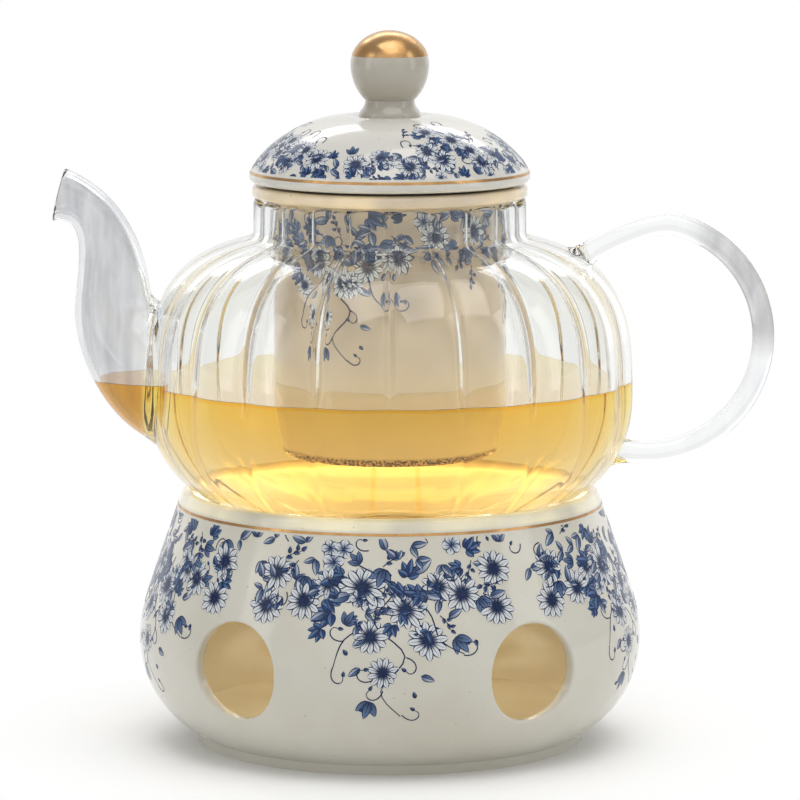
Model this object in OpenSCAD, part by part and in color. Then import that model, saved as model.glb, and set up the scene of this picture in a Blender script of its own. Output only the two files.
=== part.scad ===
// Lobed glass teapot with a ceramic infuser and lid, standing on a vented ceramic candle warmer.
// The origin is on the warmer's axis in the plane of its foot. The spout points along -X,
// the handle along +X, and the front is -Y.

/* [Warmer] */
// Widest diameter of the warmer
warmer_d = 136.8; // [132:0.2:146]
// Height of the warmer's widest ring above the table
warmer_belly_z = 28; // [26:0.5:31]
// Radius of the bowl below the widest ring
warmer_bowl_round = 28.5; // [28:0.5:32]
// Radius of the shoulder above the widest ring
warmer_shoulder_round = 39; // [30:1:46]
// Height of the centre of the rounded rim
warmer_rim_z = 67; // [62:0.5:76]
// Diameter through the centre of the rounded rim
warmer_rim_d = 110; // [104:0.2:114]
// Thickness of the warmer's wall, which its rim rounds over
warmer_wall = 4; // [3:0.5:5]
// Thickness of the warmer's floor
warmer_floor = 5; // [4:0.5:7]
// Outer diameter of the foot ring
foot_d = 105.2; // [98:0.2:108]
// Width of the foot ring
foot_w = 5; // [3:0.5:8]
// Height of the foot ring's outside, and depth of the recess inside it
foot_h = 2.4; // [1.5:0.1:4]
// Number of round air vents
vent_count = 5; // [3:1:6]
// Diameter of each air vent
vent_d = 26; // [18:0.5:30]
// Height of the vents' centres
vent_z = 28; // [24:0.5:36]
// Angle that the ring of vents is turned by
vent_turn = -1.65; // [-36:0.05:36]

/* [Tealight] */
// Diameter of the tealight's metal cup
tealight_d = 38; // [36:0.5:40]
// Height of the tealight's metal cup
tealight_h = 16; // [14:0.5:20]
// Thickness of the cup's metal
tealight_wall = 0.4; // [0.3:0.05:0.8]
// Height of the wax in the cup
wax_h = 12; // [9:0.5:13]
// Diameter of the wick
wick_d = 1.6; // [1.2:0.1:2.4]
// Length of wick above the wax
wick_stub = 6; // [4:0.5:10]
// Diameter of the sustainer plate that holds the wick
sustainer_d = 12; // [10:0.5:16]
// Thickness of the sustainer plate, and of the wall of its collar
sustainer_t = 0.5; // [0.3:0.1:0.8]
// Height of the sustainer's collar
sustainer_h = 4; // [3:0.5:6]
// Depth of the seat in the warmer's floor that centres the tealight
seat_depth = 1.5; // [1:0.5:2.5]

/* [Glass pot] */
// Widest diameter of the pot, across the lobes
pot_d = 132.6; // [128:0.2:138]
// Height from the pot's widest ring up to where its shoulder would close
shoulder_h = 43.7; // [40:0.5:50]
// Depth from the pot's widest ring down to where its bowl would close
bowl_h = 41; // [40:0.5:50]
// Diameter of the pot's flat base
pot_base_d = 48; // [40:1:60]
// Thickness of the blown glass
glass_wall = 2; // [1.6:0.1:3]
// Number of lobes round the pot
lobe_count = 20; // [12:1:24]
// Depth of the valleys between the lobes at the widest ring
lobe_depth = 1.4; // [0.5:0.1:2]
// Diameter of the neck, across the lobes
neck_d = 74.3; // [70:0.1:80]
// Height of the glass rim above the pot's widest ring
neck_top = 52.3; // [50:0.5:60]
// Radius of the fillet between shoulder and neck
neck_fillet = 2.5; // [1.5:0.25:4]
// Height of the tea above the pot's widest ring
tea_level = 3; // [-8:0.5:20]

/* [Spout] */
// Diameter of the spout's root, measured up the pot's side
spout_root_d = 37; // [34:0.5:40]
// How far the bottom of the spout's root lies below the pot's widest ring
spout_root_drop = 14.5; // [12:0.5:16]
// Diameter at the knee, where the spout turns up
spout_knee_d = 21.4; // [19:0.2:24]
// How far the outside of the knee stands out from the pot's side
spout_knee_out = 19.2; // [18:0.1:23]
// Height of the outside of the knee above the pot's widest ring
spout_knee_up = 21.6; // [20:0.2:24]
// Diameter of the spout's mouth
spout_mouth_d = 14.6; // [13:0.2:17]
// How far the mouth's lower lip stands out from the pot's side
spout_reach = 25.2; // [24:0.1:32]
// Height of the mouth's lower lip above the pot's widest ring
spout_rise = 46.1; // [43:0.1:52]
// Thickness of the spout's glass
spout_wall = 1.8; // [1.4:0.1:2.4]
// Diameter of the hole through the pot's side into the spout
pour_hole_d = 28; // [20:0.5:29]

/* [Handle] */
// Diameter of the glass rod that the handle is bent from
handle_rod_d = 6; // [5:0.25:8]
// Radius of the handle's loop, to the middle of the rod
handle_loop_r = 31.6; // [29:0.1:36]
// How far the loop's centre stands out from the pot's side
handle_out = 3.6; // [3:0.1:10]
// Height of the loop's centre above the pot's widest ring
handle_up = 14.3; // [12:0.1:18]
// Radius on the pot's shoulder where the handle's upper end is welded
handle_weld_r = 52; // [48:0.5:56]

/* [Infuser] */
// Gap all round between the infuser and the narrowest part of the neck
infuser_gap = 1.9; // [1:0.05:3]
// Diameter of the infuser's floor, outside
infuser_base_d = 57.5; // [44:0.5:62]
// Depth of the infuser below the glass rim
infuser_depth = 69.3; // [60:0.5:74]
// Height of the tapered lower part of the infuser
infuser_taper_h = 22; // [14:0.5:30]
// Thickness of the infuser's ceramic wall and floor
infuser_wall = 3; // [2.5:0.25:4]
// Thickness of the flange that hangs the infuser on the glass rim
flange_t = 3.4; // [2.5:0.1:5]
// How far the flange reaches out past the glass rim
flange_overhang = 0.2; // [0.2:0.1:2]
// Diameter of the steeping holes in the floor
steep_hole_d = 2.4; // [1.6:0.1:3]
// Number of rings of steeping holes round the middle hole
steep_rings = 3; // [1:1:4]
// Distance between neighbouring rings of steeping holes
steep_pitch = 5.2; // [4.6:0.1:5.4]

/* [Lid] */
// How far the lid's edge reaches out past the infuser's flange
lid_overhang = 0.75; // [0.5:0.05:3]
// Height of the lid from its underside to its widest ring
lid_edge_h = 1.9; // [1:0.1:3]
// Height of the lid from its widest ring to the foot of the knob
dome_h = 16.1; // [12:0.1:22]
// Thickness of the lid
lid_wall = 4; // [3:0.25:5]
// Depth of the ring under the lid that drops into the infuser
ring_h = 6; // [3:0.5:10]
// Thickness of that ring
ring_t = 2.5; // [2:0.25:4]
// Gap between that ring and the infuser's inside
ring_gap = 0.9; // [0.5:0.1:2]

/* [Knob] */
// Widest diameter of the knob
knob_d = 21.3; // [18:0.1:26]
// Height of the knob
knob_h = 23.2; // [21:0.1:28]
// Height of the knob's widest ring below its top
knob_cap_h = 9; // [7:0.1:10]
// Diameter of the knob's collar
collar_d = 16.8; // [15:0.1:18]
// Height of the knob's collar
collar_h = 3.8; // [3:0.1:5]
// Diameter of the knob's neck
knob_neck_d = 13.4; // [12:0.1:14]

/* [Fits] */
// Gap between two curved faces that rest on each other
rest_gap = 0.3; // [0.2:0.05:0.5]
// Gap round the tealight in its seat
seat_gap = 1; // [0.5:0.25:2]
// Gap between the tea and the faces that hold it
tea_gap = 0.1; // [0.05:0.05:0.3]
// Depth that welded glass reaches into the pot's wall, beyond the lobes' valleys
weld_depth = 0.3; // [0.2:0.05:0.5]

/* [Hidden] */
$fn = 96;

ceramic_white = [0.93, 0.92, 0.89];
clear_glass = [0.80, 0.86, 0.87, 0.4];
tea_gold = [0.86, 0.62, 0.22, 0.8];
wax_white = [0.95, 0.94, 0.90];
tin_grey = [0.75, 0.76, 0.78];
wick_cream = [0.88, 0.84, 0.72];

through = 1;            // how far a cutter runs past what it cuts
lip_round = 0.3;        // rounding of the pot's lip, across
lip_h = 1;              // height of that rounding
fillet_start = 240;     // where the fillet below the neck leaves the shoulder
fillet_steps = 3;       // points on that fillet
inner_share = 0.6;      // depth of the valleys inside the glass, as a share of those outside
floor_corner = 1.5;     // how far the flat of the pot's floor starts inside its side
floor_corner_h = 0.3;   // least height of the side's first point above that flat
vent_seam = 45;         // turns the seam of a vent's round off the belly's widest ring
steps = 12;             // points on each curved stretch of a turned outline
lobe_points = 4;        // points round each lobe
bowl_power = 2.3;      // roundness of the pot's bowl, 2 being an ellipse
shoulder_power_r = 3.53; // squareness of the shoulder, read across
shoulder_power_z = 3.02; // squareness of the shoulder, read upwards

// ---- Functions ----

function bezier(a, b, c, d, t) =
    pow(1 - t, 3) * a + 3 * pow(1 - t, 2) * t * b + 3 * (1 - t) * t * t * c + pow(t, 3) * d;

function curve(a, b, c, d, count) = [for (i = [0 : count]) bezier(a, b, c, d, i / count)];

function arc(centre, radius, from, to, count) =
    [for (i = [0 : count]) let (a = from + (to - from) * i / count)
        centre + radius * [cos(a), sin(a)]];

function unit(v) = v / norm(v);

// Normal to the right of an outline at point i, from its two neighbours
function normal_at(outline, i) =
    let (a = outline[max(i - 1, 0)], b = outline[min(i + 1, len(outline) - 1)], d = unit(b - a))
        [d[1], -d[0]];

// The outline moved to its left, which is inwards on one that runs up the right-hand side
function inset(outline, depth) =
    [for (i = [0 : len(outline) - 1]) outline[i] - depth * normal_at(outline, i)];

// The valleys get shallower with the radius, down to nothing on the axis
function lobed(r, angle, depth) =
    r - depth * r / pot_r * (1 - abs(sin(lobe_count / 2 * angle)));

function lobed_ring(p, depth) =
    let (count = lobe_count * lobe_points)
        [for (i = [0 : count - 1]) let (a = 360 * i / count, r = lobed(p[0], a, depth))
            [r * cos(a), r * sin(a), p[1]]];

// A round section of a tube: its centre, the direction of its first point and its radius
function section(centre, first, radius, count) =
    [for (i = [0 : count - 1]) let (a = 360 * i / count)
        [centre[0], 0, centre[1]]
            + radius * (cos(a) * [first[0], 0, first[1]] + sin(a) * [0, 1, 0])];

// ---- Sizes worked out from the ones above ----

warmer_r = warmer_d / 2;
bowl_centre = [warmer_r - warmer_bowl_round, warmer_belly_z];
shoulder_centre = [warmer_r - warmer_shoulder_round, warmer_belly_z];
rim_round = warmer_wall / 2;
rim_centre = [warmer_rim_d / 2, warmer_rim_z];
// The straight flank touches the shoulder's arc and the rim's, at one slope for both
flank_run = rim_centre - shoulder_centre;
flank_angle = atan2(flank_run[1], flank_run[0])
    - acos((warmer_shoulder_round - rim_round) / norm(flank_run));
foot_angle = -acos((foot_d / 2 - bowl_centre[0]) / warmer_bowl_round);
foot_meet_z = max(foot_h, warmer_belly_z + warmer_bowl_round * sin(foot_angle));
floor_top = foot_h + warmer_floor;
inner_bowl = warmer_bowl_round - warmer_wall;
floor_angle = -asin((warmer_belly_z - floor_top) / inner_bowl);
seat_z = floor_top - seat_depth;

tealight_z = seat_z;
wax_z = tealight_z + tealight_wall;
wax_r = tealight_d / 2 - tealight_wall;
wick_top = wax_z + wax_h + wick_stub;
collar_r = wick_d / 2 + sustainer_t;

pot_r = pot_d / 2;
neck_r = neck_d / 2;
pot_base_r = pot_base_d / 2;

function bowl_r(h) = pot_r * pow(1 - pow(abs(h) / bowl_h, bowl_power), 1 / bowl_power);
function bowl_low(r) = -bowl_h * pow(1 - pow(r / pot_r, bowl_power), 1 / bowl_power);
function bowl_normal(h) =
    unit([pow(bowl_r(h) / pot_r, bowl_power - 1) / pot_r,
          -pow(abs(h) / bowl_h, bowl_power - 1) / bowl_h]);
function shoulder_high(r) =
    shoulder_h * pow(1 - pow(r / pot_r, shoulder_power_r), 1 / shoulder_power_z);

// Where the bowl rests: the point whose face, moved out by the rim's round, lies over the rim
function rest_point(low, high, tries) =
    let (h = (low + high) / 2, p = [bowl_r(h), h] + (rim_round + rest_gap) * bowl_normal(h))
        tries == 0 ? p : p[0] > rim_centre[0] ? rest_point(low, h, tries - 1)
                                              : rest_point(h, high, tries - 1);
pot_z = rim_centre[1] - rest_point(-bowl_h + 0.01, -0.01, 30)[1];

base_drop = bowl_low(pot_base_r);
base_turn = asin(pow(-base_drop / bowl_h, bowl_power / 2));
bowl_outline = [for (i = [0 : steps]) let (a = base_turn * (1 - i / steps))
    [pot_r * pow(cos(a), 2 / bowl_power), -bowl_h * pow(sin(a), 2 / bowl_power)]];
fillet_r = neck_r + neck_fillet;
neck_turn = acos(pow(fillet_r / pot_r, shoulder_power_r / 2));
shoulder_outline = [for (i = [1 : steps]) let (a = neck_turn * i / steps)
    [pot_r * pow(cos(a), 2 / shoulder_power_r), shoulder_h * pow(sin(a), 2 / shoulder_power_z)]];
fillet_z = shoulder_high(fillet_r) + neck_fillet;
fillet_outline = arc([fillet_r, fillet_z], neck_fillet, fillet_start, 180, fillet_steps);
pot_side = concat(bowl_outline, shoulder_outline, fillet_outline, [[neck_r, neck_top - lip_h]]);
lip_z = neck_top - lip_round;
inner_lobe = lobe_depth * inner_share;
inside_all = inset(pot_side, glass_wall);
inside = [for (p = inside_all) if (p[1] > base_drop + glass_wall + floor_corner_h) p];
inside_floor = [inside[0][0] - floor_corner, base_drop + glass_wall];
pot_outer = concat(pot_side, [[neck_r - lip_round, lip_z]]);
pot_inner = concat([[neck_r - glass_wall + lip_round, neck_top],
                    [neck_r - glass_wall, neck_top - lip_h]],
                   [for (i = [len(inside) - 2 : -1 : 0]) inside[i]], [inside_floor]);

weld = lobe_depth + weld_depth;
side_x = -pot_r;        // the pot's side below the spout

neck_clear_r = neck_r - glass_wall - inner_lobe;
infuser_r = neck_clear_r - infuser_gap;
infuser_base_r = infuser_base_d / 2;
rim_top = pot_z + neck_top;
flange_z = rim_top + rest_gap;
flange_top = flange_z + flange_t;
flange_r = neck_r + flange_overhang;
infuser_base_z = rim_top - infuser_depth;
infuser_taper_z = infuser_base_z + infuser_taper_h;
infuser_inner_r = infuser_r - infuser_wall;

lid_z = flange_top + rest_gap;
lid_r = flange_r + lid_overhang;
lid_edge_z = lid_z + lid_edge_h;
dome_top = lid_edge_z + dome_h;
collar_foot_r = collar_d / 2;
ring_r = infuser_inner_r - ring_gap;
ring_inner_r = ring_r - ring_t;

knob_z = dome_top;
knob_r = knob_d / 2;
knob_top = knob_z + knob_h;
knob_belly_z = knob_top - knob_cap_h;
knob_neck_r = knob_neck_d / 2;

// ---- Shared modules ----

// Solid skin over a stack of rings with equal numbers of points. A loop closes on itself,
// and an open stack is capped at both ends.
module skin(rings, loop = false) {
    n = len(rings[0]);
    m = len(rings);
    bands = loop ? m : m - 1;
    points = [for (ring = rings) each ring];
    walls = [for (i = [0 : bands - 1]) for (j = [0 : n - 1])
        let (a = i * n + j, b = i * n + (j + 1) % n,
             c = (i + 1) % m * n + (j + 1) % n, d = (i + 1) % m * n + j)
            each [[a, c, b], [a, d, c]]];
    caps = loop ? [] : [[for (j = [0 : n - 1]) j], [for (j = [n - 1 : -1 : 0]) (m - 1) * n + j]];
    polyhedron(points = points, faces = concat(walls, caps), convexity = 8);
}

// What the pot's glass fills, less the depth that a weld reaches into it
module weld_limit() {
    translate([0, 0, pot_z])
        rotate_extrude()
            polygon(concat([[0, base_drop]], inset(pot_side, weld), [[0, neck_top]]));
}

// ---- Warmer ----

module vent_hole(turn) {
    rotate([0, 0, turn])
        translate([0, 0, vent_z])
            rotate([90, 0, 0])
                rotate([0, 0, vent_seam])
                    cylinder(d = vent_d, h = warmer_r + through);
}

module warmer_stand() {
    outside = concat([[foot_d / 2, 0]], arc(bowl_centre, warmer_bowl_round, foot_angle, 0, steps),
                     arc(shoulder_centre, warmer_shoulder_round, 0, flank_angle, steps / 2));
    rim = arc(rim_centre, rim_round, flank_angle, flank_angle + 180, steps);
    cavity = concat(arc(shoulder_centre, warmer_shoulder_round - warmer_wall, flank_angle, 0, steps / 2),
                    arc(bowl_centre, inner_bowl, 0, floor_angle, steps));
    recess_r = foot_d / 2 - foot_w;
    seat_r = tealight_d / 2 + seat_gap;
    floor_line = [[seat_r, floor_top], [seat_r, seat_z], [0, seat_z], [0, foot_h]];
    color(ceramic_white)
        difference() {
            rotate_extrude()
                polygon(concat(outside, rim, cavity, floor_line, [[recess_r, foot_h], [recess_r, 0]]));
            for (i = [0 : vent_count - 1])
                vent_hole(vent_turn + 360 / vent_count * (i + 0.5));
        }
}

// ---- Tealight ----

module tealight_cup() {
    color(tin_grey)
        translate([0, 0, tealight_z])
            difference() {
                cylinder(d = tealight_d, h = tealight_h);
                translate([0, 0, tealight_wall])
                    cylinder(r = wax_r, h = tealight_h);
            }
}

module tealight_wax() {
    color(wax_white)
        translate([0, 0, wax_z])
            difference() {
                cylinder(r = wax_r, h = wax_h);
                translate([0, 0, -through])
                    cylinder(d = sustainer_d, h = through + sustainer_t);
                translate([0, 0, -through])
                    cylinder(r = collar_r, h = through + sustainer_h);
                cylinder(d = wick_d, h = wax_h + through);
            }
}

module wick_sustainer() {
    color(tin_grey)
        translate([0, 0, wax_z])
            difference() {
                union() {
                    cylinder(d = sustainer_d, h = sustainer_t);
                    cylinder(r = collar_r, h = sustainer_h);
                }
                translate([0, 0, sustainer_t])
                    cylinder(d = wick_d, h = sustainer_h);
            }
}

module tealight_wick() {
    color(wick_cream)
        translate([0, 0, wax_z + sustainer_t])
            cylinder(d = wick_d, h = wick_top - wax_z - sustainer_t);
}

// ---- Glass pot ----

module glass_body() {
    outer = [for (p = pot_outer) lobed_ring(p, lobe_depth)];
    inner = [for (p = pot_inner) lobed_ring(p, inner_lobe)];
    color(clear_glass)
        translate([0, 0, pot_z])
            difference() {
                skin(concat(outer, inner));
                translate([0, 0, pour_z])
                    rotate([0, -90, 0])
                        cylinder(d = pour_hole_d, h = pot_r + through);
            }
}

// The spout's two outlines, out from the pot's side and up from its widest ring
knee_lean = 17;         // tilt of the section at the knee, back from level
mouth_lean = 14;        // tilt of the mouth, back from upright
root_in = 3.5;          // how far the root's lower edge starts inside the pot's side
root_back = 2;          // how much farther in its upper edge starts
// How far the curve's handles stand off the root, the knee on either side, and the mouth
low_handles = [[14, 4.5], [-0.3, 12.6], [-0.3, 10.4], [11, -1.9]];
high_handles = [[3, 1.3], [0.4, 2.8], [0.9, 7.2], [17.9, 6.8]];
knee_low = [spout_knee_out, spout_knee_up];
knee_high = knee_low + spout_knee_d * [-cos(knee_lean), sin(knee_lean)];
mouth_low = [spout_reach, spout_rise];
mouth_high = mouth_low + spout_mouth_d * [-sin(mouth_lean), cos(mouth_lean)];
root_low = [-root_in, -spout_root_drop];
root_high = root_low + [-root_back, spout_root_d];
pour_z = (root_low[1] + root_high[1]) / 2;

// A point on an outline: t runs from 0 at the root to 1 at the knee and 2 at the mouth
function along(root, knee, mouth, handles, t) =
    t < 1 ? bezier(root, root + handles[0], knee - handles[1], knee, t)
          : bezier(knee, knee + handles[2], mouth - handles[3], mouth, t - 1);
function spout_low(t) = along(root_low, knee_low, mouth_low, low_handles, t);
function spout_high(t) = along(root_high, knee_high, mouth_high, high_handles, t);

spout_sides = 24;
spout_steps = 12;       // sections on each half of the spout

function spout_section(i, wall) =
    let (low = spout_low(i / spout_steps), high = spout_high(i / spout_steps),
         middle = (low + high) / 2, across = unit(high - low))
        section([side_x - middle[0], pot_z + middle[1]], [-across[0], across[1]],
                norm(high - low) / 2 - wall, spout_sides);

module spout() {
    last = 2 * spout_steps;
    outer = [for (i = [0 : last]) spout_section(i, 0)];
    inner = [for (i = [last : -1 : 0]) spout_section(i, spout_wall)];
    color(clear_glass)
        difference() {
            skin(concat(outer, inner), loop = true);
            weld_limit();
        }
}

// The handle's rod: straight out of the bowl, round the loop and down to the shoulder
loop_centre = [pot_r + handle_out, handle_up];
loop_low = handle_up - handle_loop_r;
loop_end = 75;          // where the rod leaves the loop for the shoulder
loop_sections = 22;
weld_sections = 8;
rod_sides = 12;
rod_in = 4;             // how far the rod's lower end starts inside the bowl's side
weld_in = [2, 1];       // how far its upper end lies inside the shoulder
rod_handle = [-7, 1.9]; // the curve's handles at the loop's end and at the shoulder
weld_handle = [10.6, 5.6];
rod_end = loop_centre + handle_loop_r * [cos(loop_end), sin(loop_end)];
weld_end = [handle_weld_r, shoulder_high(handle_weld_r)] - weld_in;
handle_path = concat(
    [[bowl_r(loop_low) - rod_in, loop_low]],
    arc(loop_centre, handle_loop_r, -90, loop_end, loop_sections),
    [for (i = [1 : weld_sections])
        bezier(rod_end, rod_end + rod_handle, weld_end + weld_handle, weld_end,
               i / weld_sections)]);

function path_direction(path, i) = unit(path[min(i + 1, len(path) - 1)] - path[max(i - 1, 0)]);

module handle() {
    rings = [for (i = [0 : len(handle_path) - 1])
        let (along = path_direction(handle_path, i), p = handle_path[i])
            section([p[0], pot_z + p[1]], [along[1], -along[0]], handle_rod_d / 2, rod_sides)];
    color(clear_glass)
        difference() {
            skin(rings);
            weld_limit();
        }
}

// ---- Tea ----

module tea() {
    wet = [for (p = inside) if (p[1] < tea_level) p];
    level_r = interpolate_r(tea_level);
    outline = concat([inside_floor + [0, tea_gap]], wet, [[level_r, tea_level]]);
    rings = [for (p = outline) lobed_ring([p[0] - tea_gap, p[1]], inner_lobe)];
    color(tea_gold)
        difference() {
            translate([0, 0, pot_z])
                skin(rings);
            translate([0, 0, infuser_base_z - rest_gap])
                cylinder(r = infuser_r + rest_gap, h = infuser_depth);
        }
}

// Radius of the pot's inside at a height, read off its outline between two points
function interpolate_r(h) =
    let (heights = [for (p = inside) if (p[0] > neck_r) [p[1], p[0]]]) lookup(h, heights);

// ---- Infuser ----

module infuser() {
    shape = [[infuser_base_r, infuser_base_z], [infuser_r, infuser_taper_z], [infuser_r, flange_z],
             [flange_r, flange_z], [flange_r, flange_top], [infuser_inner_r, flange_top],
             [infuser_inner_r, infuser_taper_z],
             [infuser_base_r - infuser_wall, infuser_base_z + infuser_wall],
             [0, infuser_base_z + infuser_wall], [0, infuser_base_z]];
    color(ceramic_white)
        difference() {
            rotate_extrude()
                polygon(shape);
            for (ring = [0 : steep_rings]) for (i = [0 : max(1, 6 * ring) - 1])
                rotate([0, 0, 60 * i / max(1, ring)])
                    translate([steep_pitch * ring, 0, infuser_base_z - through])
                        cylinder(d = steep_hole_d, h = infuser_wall + 2 * through, $fn = 24);
        }
}

// ---- Lid ----

edge_round = 1.9;       // how far the lid's edge is rounded under
edge_soft = [0.6, 0.5]; // one point of that rounding, in from the edge and up
brow = [-0.2, 5.3];     // the dome's handles, from the edge and from the collar
crown = [14.1, 2.7];

module lid() {
    dome = curve([lid_r, lid_edge_z], [lid_r, lid_edge_z] + brow,
                 [collar_foot_r, dome_top] + crown, [collar_foot_r, dome_top], steps);
    hollow = [for (p = inset(dome, lid_wall)) if (p[0] < ring_inner_r && p[0] > 0) p];
    edge = [[lid_r - edge_soft[0], lid_z + edge_soft[1]], [lid_r - edge_round, lid_z]];
    color(ceramic_white)
        rotate_extrude()
            polygon(concat([[0, dome_top - lid_wall], [0, dome_top]],
                           [for (i = [steps : -1 : 0]) dome[i]], edge,
                           [[ring_r, lid_z], [ring_r, lid_z - ring_h], [ring_inner_r, lid_z - ring_h],
                            [ring_inner_r, hollow[0][1]]], hollow));
}

ball_start = -30;       // where the ball leaves the neck
ball_step = 0.5;        // height of the neck above the collar
collar_start = -35;     // where the collar's round starts and ends
collar_end = 90;

module lid_knob() {
    belly = arc([0, knob_belly_z], knob_r, ball_start, 0, steps / 2);
    cap = [for (i = [1 : steps]) let (a = 90 * i / steps)
        [knob_r * cos(a), knob_belly_z + knob_cap_h * sin(a)]];
    neck_z = knob_z + collar_h;
    low = sin(collar_start);
    collar = [for (i = [0 : steps / 2])
        let (a = collar_start + (collar_end - collar_start) * i / (steps / 2))
            [knob_neck_r + (collar_foot_r - knob_neck_r) * max(cos(a), 0),
             knob_z + collar_h * (sin(a) - low) / (1 - low)]];
    color(ceramic_white)
        rotate_extrude()
            polygon(concat([[0, knob_z]], collar, [[knob_neck_r, neck_z + ball_step]], belly, cap));
}

warmer_stand();
tealight_cup();
tealight_wax();
wick_sustainer();
tealight_wick();
glass_body();
spout();
handle();
tea();
infuser();
lid();
lid_knob();
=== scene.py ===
import bpy
import bmesh
import math
import random
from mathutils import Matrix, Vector


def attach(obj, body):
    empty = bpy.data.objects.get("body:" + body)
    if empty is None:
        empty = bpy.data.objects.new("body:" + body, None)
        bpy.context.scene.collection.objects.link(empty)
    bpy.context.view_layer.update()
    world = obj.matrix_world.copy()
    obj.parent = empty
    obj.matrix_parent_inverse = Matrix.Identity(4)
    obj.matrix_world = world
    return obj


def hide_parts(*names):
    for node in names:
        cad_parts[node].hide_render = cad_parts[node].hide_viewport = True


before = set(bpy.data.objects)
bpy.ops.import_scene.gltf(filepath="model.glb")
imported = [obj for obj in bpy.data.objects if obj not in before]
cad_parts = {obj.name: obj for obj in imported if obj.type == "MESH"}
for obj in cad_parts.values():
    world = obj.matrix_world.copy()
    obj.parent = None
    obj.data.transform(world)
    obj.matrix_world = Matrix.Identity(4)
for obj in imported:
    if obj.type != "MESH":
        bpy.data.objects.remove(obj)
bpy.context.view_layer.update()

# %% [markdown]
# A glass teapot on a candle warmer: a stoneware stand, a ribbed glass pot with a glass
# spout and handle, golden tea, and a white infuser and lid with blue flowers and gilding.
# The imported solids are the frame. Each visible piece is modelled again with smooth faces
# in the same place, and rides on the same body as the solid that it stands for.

MM = 0.001
AROUND = 240
SAME_PLACE = 1e-7


def leave_all():
    if bpy.context.object and bpy.context.object.mode != "OBJECT":
        bpy.ops.object.mode_set(mode="OBJECT")
    bpy.ops.object.select_all(action="DESELECT")


def pick(piece):
    leave_all()
    piece.select_set(True)
    bpy.context.view_layer.objects.active = piece


def edit_all(piece):
    pick(piece)
    bpy.ops.object.mode_set(mode="EDIT")
    bpy.ops.mesh.select_all(action="SELECT")


def named(name):
    """Names the primitive or copy that an operator has just made."""
    piece = bpy.context.object
    piece.name = piece.data.name = name
    return piece


def apply_modifier(piece, modifier):
    pick(piece)
    bpy.ops.object.modifier_apply(modifier=modifier.name)


def tidy_faces(piece, angle=35.0):
    edit_all(piece)
    bpy.ops.mesh.remove_doubles(threshold=SAME_PLACE)
    bpy.ops.mesh.normals_make_consistent(inside=False)
    bpy.ops.object.mode_set(mode="OBJECT")
    bpy.ops.object.shade_smooth_by_angle(angle=math.radians(angle))


# %% [markdown]
# Everything thrown on a wheel or blown in a mould is round, so its shape is one outline
# turned about an axis. By hand that is a vertex extruded along the outline and a Screw
# modifier. A lathe outline drawn once keeps the inside and the outside in one closed wall.


# %% The curves of an outline
def arc(centre, radius, start, stop, count):
    turns = [math.radians(start + (stop - start) * i / count) for i in range(count + 1)]
    return [(centre[0] + radius * math.cos(a), centre[1] + radius * math.sin(a)) for a in turns]


def bezier(a, b, c, d, t):
    weights = ((1 - t) ** 3, 3 * (1 - t) ** 2 * t, 3 * (1 - t) * t * t, t ** 3)
    return tuple(sum(w * p[k] for w, p in zip(weights, (a, b, c, d))) for k in (0, 1))


def curve(a, b, c, d, count):
    """A curve from a to d, both ends included, that sets out towards b and comes in from c."""
    return [bezier(a, b, c, d, i / count) for i in range(count + 1)]


def offset_outline(points, depth):
    moved = []
    for i, p in enumerate(points):
        before, after = points[max(i - 1, 0)], points[min(i + 1, len(points) - 1)]
        run = math.hypot(after[0] - before[0], after[1] - before[1])
        moved.append((p[0] - depth * (after[1] - before[1]) / run,
                      p[1] + depth * (after[0] - before[0]) / run))
    return moved


print("a quarter turn in 4 steps has", len(arc((0, 0), 1, 0, 90, 4)), "points")


# %% Turning an outline and cutting one piece with another
def draw_outline(name, points):
    """Extrudes one vertex from point to point and back to the first."""
    leave_all()
    bpy.ops.mesh.primitive_plane_add(size=MM)
    piece = named(name)
    edit_all(piece)
    bpy.ops.mesh.merge(type="CENTER")
    bpy.ops.transform.translate(value=(points[0][0] * MM, 0, points[0][1] * MM))
    for p, q in zip(points, points[1:] + points[:1]):
        step = ((q[0] - p[0]) * MM, 0, (q[1] - p[1]) * MM)
        bpy.ops.mesh.extrude_region_move(TRANSFORM_OT_translate={"value": step})
    bpy.ops.mesh.select_all(action="SELECT")
    bpy.ops.mesh.remove_doubles(threshold=SAME_PLACE)
    bpy.ops.object.mode_set(mode="OBJECT")
    return piece


def turned(name, points, around=AROUND):
    piece = draw_outline(name, points)
    screw = piece.modifiers.new("turn", "SCREW")
    screw.steps = screw.render_steps = around
    screw.use_merge_vertices = True
    screw.merge_threshold = 1e-6
    apply_modifier(piece, screw)
    tidy_faces(piece)
    return piece


def combine(piece, tool, how):
    modifier = piece.modifiers.new("combine", "BOOLEAN")
    modifier.operation = how
    modifier.object = tool
    modifier.solver = "MANIFOLD"
    apply_modifier(piece, modifier)
    bpy.data.objects.remove(tool)


print("turned pieces get", AROUND, "faces round")


# %% Placing a finished piece
def settle(piece, body, slot, material, *stands_for):
    piece.data.materials.clear()
    piece.data.materials.append(material)
    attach(piece, body)
    if stands_for:
        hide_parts(*stands_for)
    print(piece.name, len(piece.data.polygons), "faces, rides on", body)


# %% [markdown]
# A material is a Principled shader with colours that change over the piece. They come from
# noise and from the place on the piece, read in Object coordinates, so that they ride with
# it. These helpers keep each finish to a few lines: a number is set on its socket, and the
# output of another node is linked to it.


# %% Node helpers
def new_group(name, inputs, outputs):
    tree = bpy.data.node_groups.new(name, "ShaderNodeTree")
    for label, kind, value in inputs:
        socket = tree.interface.new_socket(name=label, in_out="INPUT", socket_type=kind)
        socket.default_value = value
    for label, kind in outputs:
        tree.interface.new_socket(name=label, in_out="OUTPUT", socket_type=kind)
    return tree, tree.nodes.new("NodeGroupInput"), tree.nodes.new("NodeGroupOutput")


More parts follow.
